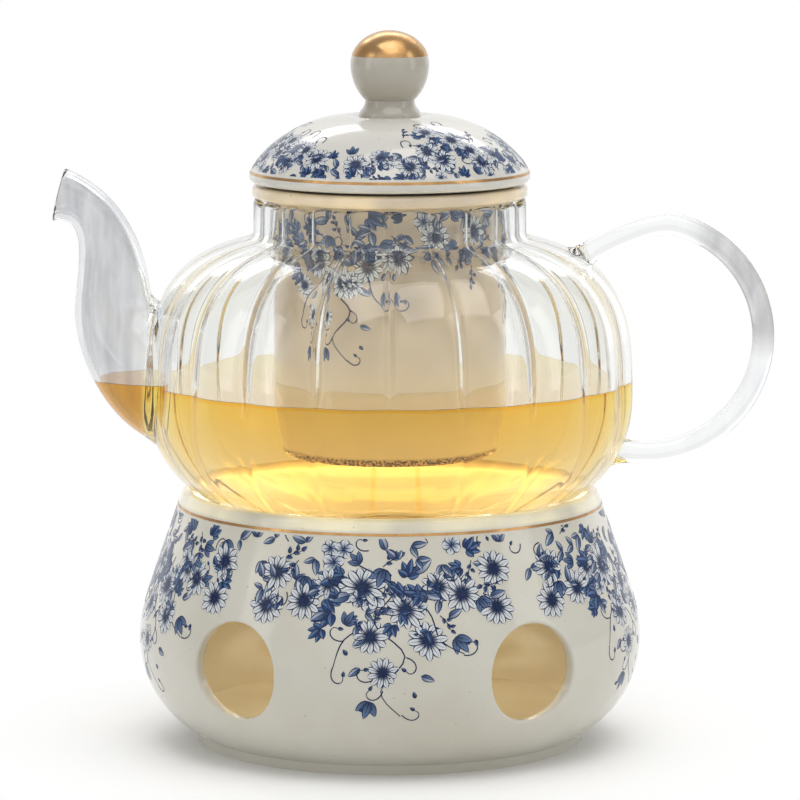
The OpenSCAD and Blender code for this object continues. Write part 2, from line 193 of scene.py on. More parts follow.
def set_plain(node, **values):
    for key, value in values.items():
        node.inputs[key.replace("_", " ")].default_value = value


def add(tree, kind, settings=None, **values):
    node = tree.nodes.new(kind)
    for key, value in (settings or {}).items():
        setattr(node, key, value)
    set_plain(node, **values)
    return node


def plug(tree, value, socket):
    """Links an output of a node to a socket, or sets a plain value on it."""
    if isinstance(value, bpy.types.NodeSocket):
        tree.links.new(value, socket)
    else:
        socket.default_value = value


def noise(tree, coordinates, scale, detail=3.0):
    node = add(tree, "ShaderNodeTexNoise", Scale=scale, Detail=detail)
    tree.links.new(coordinates, node.inputs["Vector"])
    return node.outputs["Fac"]


def remap(tree, value, low, high, to_low=0.0, to_high=1.0):
    node = add(tree, "ShaderNodeMapRange", From_Min=low, From_Max=high, To_Min=to_low, To_Max=to_high)
    tree.links.new(value, node.inputs["Value"])
    return node.outputs["Result"]


def zone(tree, distance, start, end):
    """0 up to start and 1 from end on, both in mm."""
    return remap(tree, distance, start * MM, end * MM)


def axes(tree, coordinates):
    node = add(tree, "ShaderNodeSeparateXYZ")
    tree.links.new(coordinates, node.inputs[0])
    return node.outputs


def calculate(tree, how, first, second=0.0):
    node = add(tree, "ShaderNodeMath", {"operation": how})
    plug(tree, first, node.inputs[0])
    plug(tree, second, node.inputs[1])
    return node.outputs[0]


def blend_colour(tree, factor, first, second):
    node = add(tree, "ShaderNodeMix", {"data_type": "RGBA"})
    for socket, value in zip((node.inputs[0], node.inputs[6], node.inputs[7]), (factor, first, second)):
        plug(tree, value, socket)
    return node.outputs[2]


print("node helpers ready")


# %% Starting a material
def new_material(name, **values):
    """A new material: the values are set on its Principled shader."""
    material = bpy.data.materials.new(name)
    material.use_nodes = True
    tree = material.node_tree
    shader = tree.nodes["Principled BSDF"]
    set_plain(shader, **values)
    coordinates = tree.nodes.new("ShaderNodeTexCoord").outputs["Object"]
    return material, tree, shader, coordinates


def bump(tree, shader, height, distance, strength):
    node = add(tree, "ShaderNodeBump", Distance=distance, Strength=strength)
    tree.links.new(height, node.inputs["Height"])
    tree.links.new(node.outputs["Normal"], shader.inputs["Normal"])


def colour(red, green, blue):
    def linear(value):
        value /= 255
        return value / 12.92 if value <= 0.04045 else ((value + 0.055) / 1.055) ** 2.4
    return (linear(red), linear(green), linear(blue), 1.0)


print("a mid grey of 128 is", round(colour(128, 128, 128)[0], 3), "in linear light")

# %% [markdown]
# The glaze on the stand, infuser, lid and knob is a thin glass over pale clay. It pools a
# little, so its colour drifts, its gloss changes in soft patches, and a few iron specks
# show. Four noises at four scales give that, and one group serves every pale piece.

# %% The glaze group
IRON_SPECK = colour(120, 104, 84)
glaze_tree, glaze_in, glaze_out = new_group(
    "glaze pooling",
    [("Vector", "NodeSocketVector", (0, 0, 0)), ("Body", "NodeSocketColor", colour(236, 234, 228)),
     ("Pool", "NodeSocketColor", colour(222, 218, 206))],
    [("Color", "NodeSocketColor"), ("Roughness", "NodeSocketFloat"), ("Height", "NodeSocketFloat")])
place = glaze_in.outputs["Vector"]
pooling = remap(glaze_tree, noise(glaze_tree, place, 45, 2.0), 0.35, 0.7)
specks = remap(glaze_tree, noise(glaze_tree, place, 900, 1.0), 0.74, 0.8, 0.0, 0.35)
tinted = blend_colour(glaze_tree, pooling, glaze_in.outputs["Body"], glaze_in.outputs["Pool"])
speckled = blend_colour(glaze_tree, specks, tinted, IRON_SPECK)
gloss = remap(glaze_tree, noise(glaze_tree, place, 120), 0.3, 0.7, 0.07, 0.16)
glaze_tree.links.new(speckled, glaze_out.inputs["Color"])
glaze_tree.links.new(gloss, glaze_out.inputs["Roughness"])
glaze_tree.links.new(noise(glaze_tree, place, 220, 2.0), glaze_out.inputs["Height"])
print("glaze group:", len(glaze_tree.nodes), "nodes")

# %% A glazed finish
ORANGE_PEEL = 0.04


def glaze(name, body, pool):
    material, tree, shader, coordinates = new_material(name, IOR=1.5, Coat_Weight=0.4,
                                                       Coat_Roughness=0.04)
    group = add(tree, "ShaderNodeGroup", {"node_tree": glaze_tree}, Body=body, Pool=pool)
    tree.links.new(coordinates, group.inputs["Vector"])
    tree.links.new(group.outputs["Color"], shader.inputs["Base Color"])
    tree.links.new(group.outputs["Roughness"], shader.inputs["Roughness"])
    bump(tree, shader, group.outputs["Height"], ORANGE_PEEL * MM, 0.6)
    return material, tree, shader, coordinates, group


white_glaze = glaze("white_glaze", colour(210, 208, 200), colour(202, 199, 190))[0]
# The knob gets the white glaze painted darker: painted shade on the knob.
knob_shaded_glaze = glaze("knob_shaded_glaze", colour(181, 175, 162), colour(169, 162, 147))[0]
# The inside of the stand is painted tan: a painted glow of the candle on it.
candle_glow_tan = glaze("candle_glow_tan", colour(206, 190, 156), colour(200, 182, 146))[0]
print("plain glazes:", [m.name for m in (white_glaze, knob_shaded_glaze, candle_glow_tan)])

# %% [markdown]
# Two pieces aren't one colour all over. The stand's rim and the infuser's flange get a painted
# glow of the candle-lit tea, warm and pale; the infuser gets painted shade, greyer above the tea
# than in it; and its foot was wiped bare of glaze. The height on the piece picks each colour.

# %% The stand's glaze
RIM_GLOW_ZONE = (65.4, 66.4)
stand_body = colour(204, 201, 190)
stand_glaze, tree, shader, coordinates, group = glaze("stand_glaze", stand_body,
                                                      colour(196, 192, 178))
# Above the rim zone the glaze is painted pale and warm: a painted glow of the candle-lit tea.
rim = zone(tree, axes(tree, coordinates)["Z"], *RIM_GLOW_ZONE)
tree.links.new(blend_colour(tree, rim, stand_body, colour(250, 241, 208)), group.inputs["Body"])
print("the stand turns pale above", RIM_GLOW_ZONE[0], "mm")

# %% The infuser's glaze
FOOT_ZONE, SHADE_ABOVE_TEA, FLANGE_GLOW_ZONE = (81.4, 80.6), (96.0, 124.0), (143.0, 149.0)
in_tea = colour(212, 197, 174)
infuser_glaze, tree, shader, coordinates, group = glaze("infuser_glaze", in_tea,
                                                        colour(204, 188, 164))
height = axes(tree, coordinates)["Z"]
# Painted shade: the wall above the tea is painted darker than the wall in it.
wall = blend_colour(tree, zone(tree, height, *SHADE_ABOVE_TEA), in_tea, colour(155, 139, 116))
# Painted glow: the flange is painted warm and pale.
tree.links.new(blend_colour(tree, zone(tree, height, *FLANGE_GLOW_ZONE), wall, colour(254, 232, 190)),
               group.inputs["Body"])
grog = remap(tree, noise(tree, coordinates, 1500), 0.46, 0.54)
clay = blend_colour(tree, grog, colour(170, 134, 82), colour(40, 28, 12))
tree.links.new(blend_colour(tree, zone(tree, height, *FOOT_ZONE), group.outputs["Color"], clay),
               shader.inputs["Base Color"])
print("the infuser is bare below", FOOT_ZONE[0], "mm")

# %% [markdown]
# Gilding is liquid gold brushed on the glaze and fired again. It is metal, but thin: it
# is worn in places and its polish is uneven. A metallic shader with a noise in its
# roughness and colour is enough, because the line is narrow.

# %% The gilding
gilding, tree, shader, coordinates = new_material("gilding", Metallic=1.0)
wear = remap(tree, noise(tree, coordinates, 260, 4.0), 0.3, 0.7)
tree.links.new(blend_colour(tree, wear, colour(196, 158, 110), colour(168, 127, 78)),
               shader.inputs["Base Color"])
tree.links.new(remap(tree, wear, 0.0, 1.0, 0.16, 0.34), shader.inputs["Roughness"])
print("gilding ready")

# %% [markdown]
# The glass is clear and blown, so its faces are never quite even: a faint slow wave in the
# normal bends what is seen through it. Glass that was drawn out hot, as the spout and the
# handle were, keeps faint cords along its length, which a noise stretched upwards gives.
# Clear glass looks grey where it is seen at a grazing angle, because it then shows the dark
# of the room. A studio has little of that dark, so a Layer Weight node paints a grey reflection
# of it on the spout and the handle. The spout's and the handle's glass are also painted grey,
# and the handle has a painted grey reflection on its bend where it turns down.

# %% The glass of the pot
clear_glass, tree, shader, coordinates = new_material("clear_glass", Transmission_Weight=1.0, IOR=1.47)
waves = noise(tree, coordinates, 60, 1.0)
tree.links.new(remap(tree, waves, 0.3, 0.7, 0.0, 0.02), shader.inputs["Roughness"])
bump(tree, shader, waves, 0.3 * MM, 0.2)
pot_glass = blend_colour(tree, waves, colour(250, 251, 250), colour(245, 247, 246))
print("glass IOR", round(shader.inputs["IOR"].default_value, 2))

# %% The cords and the painted grazing reflection
CORD_STRETCH = 0.12
drawn = add(tree, "ShaderNodeMapping", Scale=(1.0, 1.0, CORD_STRETCH))
tree.links.new(coordinates, drawn.inputs["Vector"])
cords = remap(tree, noise(tree, drawn.outputs[0], 300, 2.0), 0.35, 0.65)
facing = add(tree, "ShaderNodeLayerWeight", Blend=0.5).outputs["Facing"]


def corded(pale, paler):
    return blend_colour(tree, cords, colour(*pale), colour(*paler))


def grazing_reflection(glass, low, high, tint):
    """Paints the room's dark on a glass where it turns away from the eye, from low to high on the facing
    scale: a painted reflection.
    """
    return blend_colour(tree, remap(tree, facing, low, high, 0.0, 0.8), glass, colour(*tint))


print("cords are", round(1 / CORD_STRETCH, 1), "times as long as wide")

# %% The glass of the spout and the handle, painted grey
SPOUT_ZONE, HANDLE_ZONE = (-60.0, -72.0), (70.0, 95.0)
BEND_OUT, BEND_UP = (80.0, 86.0), (104.0, 112.0)
at = axes(tree, coordinates)
# Painted reflection: a grey patch where the handle bends down.
bend_reflection = calculate(tree, "MULTIPLY", zone(tree, at["X"], *BEND_OUT), zone(tree, at["Z"], *BEND_UP))
# The spout and handle glass are painted grey, and greyer still at their edges: painted reflection of the
# room's dark.
spout_glass = grazing_reflection(corded((215, 216, 218), (236, 237, 238)), 0.72, 0.95, (168, 170, 174))
handle_glass = grazing_reflection(blend_colour(tree, bend_reflection, corded((239, 240, 242), (251, 251, 251)),
                                   corded((180, 180, 181), (210, 210, 211))),
                      0.45, 0.85, (156, 159, 164))
tinted = blend_colour(tree, zone(tree, at["X"], *SPOUT_ZONE), pot_glass, spout_glass)
tree.links.new(blend_colour(tree, zone(tree, at["X"], *HANDLE_ZONE), tinted, handle_glass),
               shader.inputs["Base Color"])
print("spout glass from", SPOUT_ZONE[0], "mm, handle glass from", HANDLE_ZONE[0], "mm")

# %% [markdown]
# Tea is water with colour all through it, so the deeper one looks the stronger it gets. A
# Volume Absorption shader does that. With water's index of 1.33 the tea would magnify the
# infuser like a lens. Here its index is close to that of air, so the infuser keeps its
# width. The tea is painted pale near the bottom, a painted glow of the candle below, and
# deepens upwards; an amber line painted where the tea meets the glass stands in for the light
# bent at the meniscus; and the tea is painted deepest in the narrow spout, a painted shade.

# %% The tea's colour
TEA_Z, MENISCUS_LINE = 98.95, 0.9
TEA_GLOW_FADE, IN_SPOUT = (60.0, 99.0), (-64.5, -67.0)
tea_liquid, tree, shader, coordinates = new_material("tea_liquid", Transmission_Weight=1.0, IOR=1.03,
                                                     Roughness=0.0)
at = axes(tree, coordinates)
# Painted amber line where the tea meets the glass: it stands in for the light the meniscus bends.
meniscus_line = calculate(tree, "MULTIPLY",
                      zone(tree, at["Z"], TEA_Z - MENISCUS_LINE, TEA_Z - MENISCUS_LINE * 0.7),
                      zone(tree, at["Z"], TEA_Z - 0.01, TEA_Z - 0.04))
# Painted glow: near white at the bottom, lit by the candle below, deepening to gold above.
in_pot = blend_colour(tree, zone(tree, at["Z"], *TEA_GLOW_FADE), colour(255, 252, 244),
                      colour(252, 229, 98))
in_pot = blend_colour(tree, meniscus_line, in_pot, colour(255, 206, 30))
# Painted shade: deeper amber in the spout.
tree.links.new(blend_colour(tree, zone(tree, at["X"], *IN_SPOUT), in_pot, colour(242, 182, 70)),
               shader.inputs["Base Color"])
absorption = add(tree, "ShaderNodeVolumeAbsorption", Color=(0.98, 0.84, 0.52, 1), Density=27.0)
tree.links.new(absorption.outputs["Volume"], tree.nodes["Material Output"].inputs["Volume"])
print("tea density", absorption.inputs["Density"].default_value, "per metre")

# %% The gloss of the tea's surface
tea_gloss, tree, shader, coordinates = new_material("tea_gloss", Transmission_Weight=1.0, IOR=1.33)
ripple = noise(tree, coordinates, 40, 1.0)
tree.links.new(remap(tree, ripple, 0.3, 0.7, 0.0, 0.02), shader.inputs["Roughness"])
tree.links.new(blend_colour(tree, ripple, colour(255, 250, 236), colour(252, 244, 224)),
               shader.inputs["Base Color"])
print("tea surface has water's index", round(shader.inputs["IOR"].default_value, 2))

# %% [markdown]
# The stand is slip-cast stoneware: a belly, a straight flank, a round rim and a foot ring.
# One outline goes up the outside, over the rim and down the inside, and is turned. The
# vents are punched while the clay is soft and the glaze rounds their edges. Each is cut by
# a plug with trumpet ends that is bent to the wall, so that both of its edges come out round.

# %% The stand's outline
BELLY_Z, FOOT_R, FOOT_IN, FOOT_H, WALL = 28.0, 52.6, 47.6, 2.4, 4.0
bowl_centre, shoulder_centre, rim_centre = (39.9, BELLY_Z), (29.4, BELLY_Z), (55.0, 67.0)
BOWL_ROUND, SHOULDER_ROUND, RIM_ROUND = 28.5, 39.0, 2.0
run = (rim_centre[0] - shoulder_centre[0], rim_centre[1] - shoulder_centre[1])
flank = math.degrees(math.atan2(run[1], run[0])
                     - math.acos((SHOULDER_ROUND - RIM_ROUND) / math.hypot(*run)))
foot_turn = -math.degrees(math.acos((FOOT_R - bowl_centre[0]) / BOWL_ROUND))
shoulder = arc(shoulder_centre, SHOULDER_ROUND, 0, flank, 14)
stand_rim = arc(rim_centre, RIM_ROUND, flank, flank + 180, 20)
stand_outside = ([(FOOT_R, 0.0)] + arc(bowl_centre, BOWL_ROUND, foot_turn, 0, 28) + shoulder[1:]
                 + curve(shoulder[-1], shoulder[-1], stand_rim[0], stand_rim[0], 12)[1:-1])
print("flank leans", round(90 - flank, 1), "degrees from level")

# %% The stand's inside and floor
FLOOR_TOP, SEAT_Z, SEAT_R = 7.4, 5.9, 20.0
inner_bowl = BOWL_ROUND - WALL
floor_turn = -math.degrees(math.asin((BELLY_Z - FLOOR_TOP) / inner_bowl))
stand_inside = (arc(shoulder_centre, SHOULDER_ROUND - WALL, flank, 0, 12)
                + arc(bowl_centre, inner_bowl, 0, floor_turn, 24)[1:])
stand_floor = [(SEAT_R, FLOOR_TOP), (SEAT_R, SEAT_Z), (0.0, SEAT_Z), (0.0, FOOT_H),
               (FOOT_IN, FOOT_H), (FOOT_IN, 0.0)]
stand = turned("stand", stand_outside + stand_rim + stand_inside + stand_floor)
print("stand:", len(stand.data.polygons), "faces before the vents")

# %% A plug for one vent
VENT_D, VENT_TURN, VENTS, ROUNDING, PLUG_OVER = 26.0, -1.65, 5, 1.0, 5.0


def radius_at(outline, z):
    """The radius of an outline at a height, where it has one."""
    for (r0, z0), (r1, z1) in zip(outline, outline[1:]):
        if z0 <= z <= z1:
            return r0 + (r1 - r0) * (z - z0) / max(z1 - z0, 1e-9)
    return None


def wall_radius(z):
    return radius_at(stand_outside, z) or FOOT_R


def vent_plug(turn):
    flared = VENT_D / 2 + ROUNDING
    turns = [math.radians(t) for t in range(0, 91, 15)]
    mouth = [(flared - ROUNDING * math.sin(t), -ROUNDING * (1 - math.cos(t))) for t in turns]
    throat = [(r, -WALL - a) for r, a in mouth[::-1]]
    plug = turned("vent_plug", [(0.0, PLUG_OVER), (flared, PLUG_OVER)] + mouth + throat
                  + [(flared, -WALL - PLUG_OVER), (0.0, -WALL - PLUG_OVER)], around=96)
    out = Vector((math.cos(turn), math.sin(turn), 0))
    side = Vector((-math.sin(turn), math.cos(turn), 0))
    for vertex in plug.data.vertices:
        x, y, a = vertex.co / MM
        face = math.sqrt(wall_radius(BELLY_Z + y) ** 2 - x * x)
        vertex.co = (out * (face + a) + side * x + Vector((0, 0, BELLY_Z + y))) * MM
    plug.data.update()
    return plug


print("belly radius", round(wall_radius(BELLY_Z), 2), "mm")

# %% Cut the vents and paint the inside tan, a painted glow of the candle
TAN_LOW, TAN_HIGH, TAN_IN = 5.5, 48.0, 2.6
for i in range(VENTS):
    combine(stand, vent_plug(math.radians(VENT_TURN + 360 / VENTS * (i + 0.5) - 90)), "DIFFERENCE")
tidy_faces(stand, 30)
settle(stand, "warmer", "glaze", stand_glaze, "warmer_stand")
stand.data.materials.append(candle_glow_tan)
for face in stand.data.polygons:
    r, z = math.hypot(face.center.x, face.center.y) / MM, face.center.z / MM
    if TAN_LOW < z < TAN_HIGH and r < wall_radius(z) - TAN_IN:
        face.material_index = 1
print("faces inside the stand:", sum(f.material_index for f in stand.data.polygons))

# %% [markdown]
# The pot is blown into a ribbed mould: twenty lobes run from the neck to the base, deep at
# the widest ring, calmer below the tea and gone on the axis. The turned outline is one
# solid for the outside and one for the room inside, and each point is then drawn in by how
# near it is to a valley. The inside is softer and has a rib in each valley, because glass
# that is blown against a rib stays thick there.

# %% The pot's outline
POT_Z, POT_R, NECK_R, NECK_TOP = 95.95, 66.3, 37.15, 52.3
BOWL_H, BOWL_POWER, SHOULDER_H = 41.0, 2.3, 43.7
SHOULDER_R_POWER, SHOULDER_Z_POWER = 3.53, 3.02
BASE_R, GLASS, NECK_FILLET, SIDE_STEPS = 24.0, 2.0, 2.5, 36
base_drop = -BOWL_H * (1 - (BASE_R / POT_R) ** BOWL_POWER) ** (1 / BOWL_POWER)
base_turn = math.asin((-base_drop / BOWL_H) ** (BOWL_POWER / 2))
turns = [base_turn * (1 - i / SIDE_STEPS) for i in range(SIDE_STEPS + 1)]
pot_side = [(POT_R * math.cos(a) ** (2 / BOWL_POWER), -BOWL_H * math.sin(a) ** (2 / BOWL_POWER))
            for a in turns]
fillet_r = NECK_R + NECK_FILLET
neck_turn = math.acos((fillet_r / POT_R) ** (SHOULDER_R_POWER / 2))
turns = [neck_turn * i / SIDE_STEPS for i in range(1, SIDE_STEPS + 1)]
pot_side += [(POT_R * math.cos(a) ** (2 / SHOULDER_R_POWER),
              SHOULDER_H * math.sin(a) ** (2 / SHOULDER_Z_POWER)) for a in turns]
fillet_z = pot_side[-1][1] + NECK_FILLET
pot_side += arc((fillet_r, fillet_z), NECK_FILLET, 235, 180, 6)
print("pot side:", len(pot_side), "points, base", round(base_drop + POT_Z, 2), "mm up")

# %% The lip, the base and the room inside
LIP = GLASS / 2
lip_centre = (NECK_R - LIP, NECK_TOP - LIP)
lip_outer = arc(lip_centre, LIP, 0, 90, 6)
lip_inner = arc(lip_centre, LIP, 180, 90, 6)
pot_base = [(pot_side[0][0] * t, base_drop) for t in (0.0, 0.3, 0.6, 0.85)]


def room_side(depth):
    """The inside of the pot: a floor and the side, at a depth below the outer face."""
    floor_z = base_drop + depth
    inner = [p for p in offset_outline(pot_side, depth) if p[1] > floor_z + 0.3]
    side = [p for p in inner if p[0] > NECK_R - depth - 0.001 or p[1] < SHOULDER_H]
    edge = side[0][0]
    return [(0.0, floor_z), (edge * 0.5, floor_z), (edge - 1.5, floor_z)] + side


print("the room's outline has", len(room_side(GLASS)), "points")

# %% Drawing in the lobes
LOBES, LOBE_DEPTH, VALLEY_PULL = 20, 1.4, 0.75
OUTSIDE_SOFT, INSIDE_SOFT, RIB, RIB_WIDTH, SCALLOP = 0.07, 0.16, 0.75, 0.2, 1.1
CALM_TOP, CALM_RUN, CALM, CALM_SOFT = 4.0, 14.0, 0.55, 0.2
RIB_START, RIB_RUN, RIB_LEAST, RIB_FULL_R, LIP_RUN = 1.0, 8.0, 0.12, 50.0, 7.0


def held(value, low=0.0):
    return min(max(value, low), 1.0)


def lobed(piece, soften, rib):
    """Draws a turned piece in at each valley; a rib on the inside wall thickens it there."""
    for vertex in piece.data.vertices:
        x, y, z = vertex.co / MM
        radius, turn = math.hypot(x, y), math.atan2(y, x)
        if radius > 1e-3:
            turn -= VALLEY_PULL / LOBES * math.sin(LOBES * turn)
            wave = math.sin(LOBES / 2 * turn)
            calm = held((CALM_TOP - z) / CALM_RUN)
            soft = soften + CALM_SOFT * calm
            crest = (math.hypot(wave, soft) - soft) / (math.hypot(1, soft) - soft)
            radius *= 1 - LOBE_DEPTH * (1 - CALM * calm) / POT_R * (1 - crest)
            if radius > BASE_R:
                height = held((z - RIB_START) / RIB_RUN, RIB_LEAST)
                radius -= (rib * height * math.exp(-(wave / RIB_WIDTH) ** 2)
                           * min(1.0, radius / RIB_FULL_R))
            z -= SCALLOP * (1 - crest) * held((z - NECK_TOP + LIP_RUN) / LIP_RUN)
        vertex.co = Vector((radius * math.cos(turn), radius * math.sin(turn), z + POT_Z)) * MM
    piece.data.update()
    return piece


print(LOBES, "lobes,", LOBE_DEPTH, "mm deep, and", round(LOBE_DEPTH * (1 - CALM), 2), "below the tea")

# %% [markdown]
# The spout is a tube of its own, drawn out, bent up and cut, then welded over a hole in the
# pot. Its sections are round but change in size and tilt, so a circle is extruded ring by
# ring: each new ring is moved to its centre, resized and turned, as by hand.


# %% Tubes made ring by ring
def tube(name, rings, sides):
    """rings: centre x, centre z, radius and tilt in degrees of each section, in mm."""
    leave_all()
    bpy.ops.mesh.primitive_circle_add(vertices=sides, radius=rings[0][2] * MM, fill_type="NGON")
    piece = named(name)
    edit_all(piece)
    for _ in rings[1:]:
        bpy.ops.mesh.extrude_region_move(TRANSFORM_OT_translate={"value": (0, 0, MM)})
    bpy.ops.object.mode_set(mode="OBJECT")
    for vertex in piece.data.vertices:
        cx, cz, r, lean = rings[round(vertex.co.z / MM)]
        round_at = vertex.co.to_2d().normalized() * r
        turn = math.radians(lean)
        vertex.co = Vector((cx + round_at.x * math.cos(turn), round_at.y,
                            cz + round_at.x * math.sin(turn))) * MM
    piece.data.update()
    tidy_faces(piece)
    return piece


print("a tube is one circle, extruded once for each ring")

# %% The spout's two outlines
KNEE_D, KNEE_OUT, KNEE_UP, KNEE_LEAN = 21.4, 19.2, 21.6, math.radians(17)
MOUTH_D, REACH, RISE, MOUTH_LEAN = 14.6, 25.2, 46.1, math.radians(14)
ROOT_D, ROOT_DROP, ROOT_IN, SPOUT_WALL = 37.0, 14.5, 3.5, 1.8
knee_low = (KNEE_OUT, KNEE_UP)
knee_high = (KNEE_OUT - KNEE_D * math.cos(KNEE_LEAN), KNEE_UP + KNEE_D * math.sin(KNEE_LEAN))
mouth_low = (REACH, RISE)
mouth_high = (REACH - MOUTH_D * math.sin(MOUTH_LEAN), RISE + MOUTH_D * math.cos(MOUTH_LEAN))
root_low = (-ROOT_IN, -ROOT_DROP)
root_high = (root_low[0] - 2, root_low[1] + ROOT_D)


def shifted(p, dx, dz):
    return (p[0] + dx, p[1] + dz)


def spout_edges(t):
    """The low and the high edge: t is 0 at the root, 1 at the knee and 2 at the mouth."""
    if t < 1:
        low = bezier(root_low, shifted(root_low, 14, 4.5), shifted(knee_low, 0.3, -12.6),
                     knee_low, t)
        high = bezier(root_high, shifted(root_high, 3, 1.3), shifted(knee_high, -0.4, -2.8),
                      knee_high, t)
    else:
        low = bezier(knee_low, shifted(knee_low, -0.3, 10.4), shifted(mouth_low, -11, 1.9),
                     mouth_low, t - 1)
        high = bezier(knee_high, shifted(knee_high, 0.9, 7.2), shifted(mouth_high, -17.9, -6.8),
                      mouth_high, t - 1)
    return low, high


def spout_ring(t, wall, push=0.0):
    """One section, a wall inside the outer face and pushed along the spout, in mm."""
    low, high = spout_edges(t)
    across = (high[0] - low[0], high[1] - low[1])
    size = math.hypot(*across)
    along = (across[1] / size * push, -across[0] / size * push)
    x = -POT_R - (low[0] + high[0]) / 2 - along[0]
    z = POT_Z + (low[1] + high[1]) / 2 + along[1]
    return (x, z, size / 2 - wall, math.degrees(math.atan2(across[1], -across[0])))


SPOUT_STEPS = 56
spout_times = [2 * i / SPOUT_STEPS for i in range(SPOUT_STEPS)]
outer_rings = ([spout_ring(t, 0) for t in spout_times]
               + [spout_ring(2.0, wall, push) for wall, push in ((0.0, -0.5), (0.12, -0.2), (0.45, 0.0))])
inner_rings = ([spout_ring(0, SPOUT_WALL, -3)] + [spout_ring(t, SPOUT_WALL) for t in spout_times]
               + [spout_ring(2.0, SPOUT_WALL - 0.15, -0.5), spout_ring(2.0, SPOUT_WALL - 0.5, 0.2)])
print("spout mouth at", [round(v, 1) for v in outer_rings[-1]])

# %% [markdown]
# Where hot glass meets hot glass it flows into a fillet. Each point of the spout or handle
# that lies close to the pot's wall is pushed out from its own middle line, more the
# closer it is, so that the weld flares.

# %% Flared welds
WELD_REACH, WELD_ROOT, WELD_HOLLOW = 3.5, 3.0, 2.2


def side_radius(z):
    """Radius of the pot's lobe crests at a height above its widest ring, in mm."""
    return radius_at(pot_side, z) or pot_side[0 if z < pot_side[0][1] else -1][0]


def flare(piece, rings, swell):
    for vertex in piece.data.vertices:
        p = vertex.co / MM
        clear = math.hypot(p.x, p.y) - side_radius(p.z - POT_Z)
        if -WELD_ROOT < clear < WELD_REACH:
            near = min(rings, key=lambda ring: (ring[0] - p.x) ** 2 + (ring[1] - p.z) ** 2)
            out = Vector((p.x - near[0], p.y, p.z - near[1]))
            if out.length > 1e-6:
                grow = swell * ((WELD_REACH - max(clear, 0)) / WELD_REACH) ** WELD_HOLLOW
                vertex.co += out.normalized() * grow * MM
    piece.data.update()


spout_outer = tube("spout_outer", outer_rings, 72)
flare(spout_outer, outer_rings, 1.0)
spout_inner = tube("spout_inner", inner_rings, 64)
print("spout rings:", len(outer_rings))

# %% The handle's rod
ROD_R, LOOP_R, HANDLE_OUT, HANDLE_UP, LOOP_END, TOP_WELD_R = 3.0, 31.6, 3.6, 14.3, 75, 52.0
loop_centre = (POT_R + HANDLE_OUT, HANDLE_UP)
loop_low = HANDLE_UP - LOOP_R


def bowl_radius(h):
    return POT_R * (1 - (abs(h) / BOWL_H) ** BOWL_POWER) ** (1 / BOWL_POWER)


def shoulder_height(r):
    return SHOULDER_H * (1 - (r / POT_R) ** SHOULDER_R_POWER) ** (1 / SHOULDER_Z_POWER)


loop = arc(loop_centre, LOOP_R, -90, LOOP_END, 66)
weld_end = (TOP_WELD_R - 2, shoulder_height(TOP_WELD_R) - 1)
low_start = (bowl_radius(loop_low) - 4, loop_low)
handle_line = (curve(low_start, low_start, loop[0], loop[0], 8)[:-1] + loop
               + curve(loop[-1], shifted(loop[-1], -7, 1.9), shifted(weld_end, 10.6, 5.6),
                       weld_end, 22)[1:])
handle_rings = []
for i, p in enumerate(handle_line):
    before, after = handle_line[max(i - 1, 0)], handle_line[min(i + 1, len(handle_line) - 1)]
    lean = math.degrees(math.atan2(after[1] - before[1], after[0] - before[0])) - 90
    handle_rings.append((p[0], POT_Z + p[1], ROD_R, lean))
handle_rod = tube("handle_rod", handle_rings, 40)
flare(handle_rod, handle_rings, 0.9)
print("handle rings:", len(handle_rings))

# %% [markdown]
# The three pieces of glass are fused, so they are one piece here: outside, spout and rod
# are joined, and the room inside and the spout's bore are taken out. A ray of light then
# meets glass once, as in the real pot, and never a wall hidden inside it.

# %% Fuse the glass
ROOM_OVER = 3.0
outside = pot_base + pot_side + lip_outer + [(0.0, NECK_TOP)]
room = (room_side(GLASS) + lip_inner
        + [(NECK_R - LIP, NECK_TOP + ROOM_OVER), (0.0, NECK_TOP + ROOM_OVER)])
glass = lobed(turned("glass_pot", outside, around=360), OUTSIDE_SOFT, 0.0)
room_tool = lobed(turned("pot_room", room, around=360), INSIDE_SOFT, RIB)
for tool, how in ((spout_outer, "UNION"), (handle_rod, "UNION"), (room_tool, "DIFFERENCE"),
                  (spout_inner, "DIFFERENCE")):
    combine(glass, tool, how)
tidy_faces(glass, 40)
settle(glass, "pot", "glass", clear_glass, "glass_body", "spout", "handle")

# %% [markdown]
# The tea fills the room and the spout to one level. It reaches a hair into the glass, so
# that light passes from glass to tea with no air between them, and its top is cut flat.

# %% The tea
SOAK = 0.06
wet_room = room_side(GLASS - SOAK)
tea_room = wet_room + [(wet_room[-1][0], NECK_TOP), (0.0, NECK_TOP)]
tea = lobed(turned("tea_in_pot", tea_room, around=360), INSIDE_SOFT, RIB)
tea_spout = tube("tea_spout", [(x, z, r + SOAK, lean) for x, z, r, lean in inner_rings], 64)
combine(tea, tea_spout, "UNION")
edit_all(tea)
bpy.ops.mesh.bisect(plane_co=(0, 0, TEA_Z * MM), plane_no=(0, 0, 1), use_fill=True, clear_outer=True)
tidy_faces(tea, 40)
settle(tea, "pot", "tea", tea_liquid, "tea")

# %% [markdown]
# Seen almost level, a liquid's surface is a mirror. The tea bends light so little here that
# its own surface hardly shines, so a thin skin with water's index lies on it and adds that
# gloss. It is a copy of the tea's top face, lifted a hair and extruded. Glass, tea and skin
# cast no shadow: lamp light that only follows straight shadow rays would leave the infuser
# and the tea dark, where real glass lets it through.

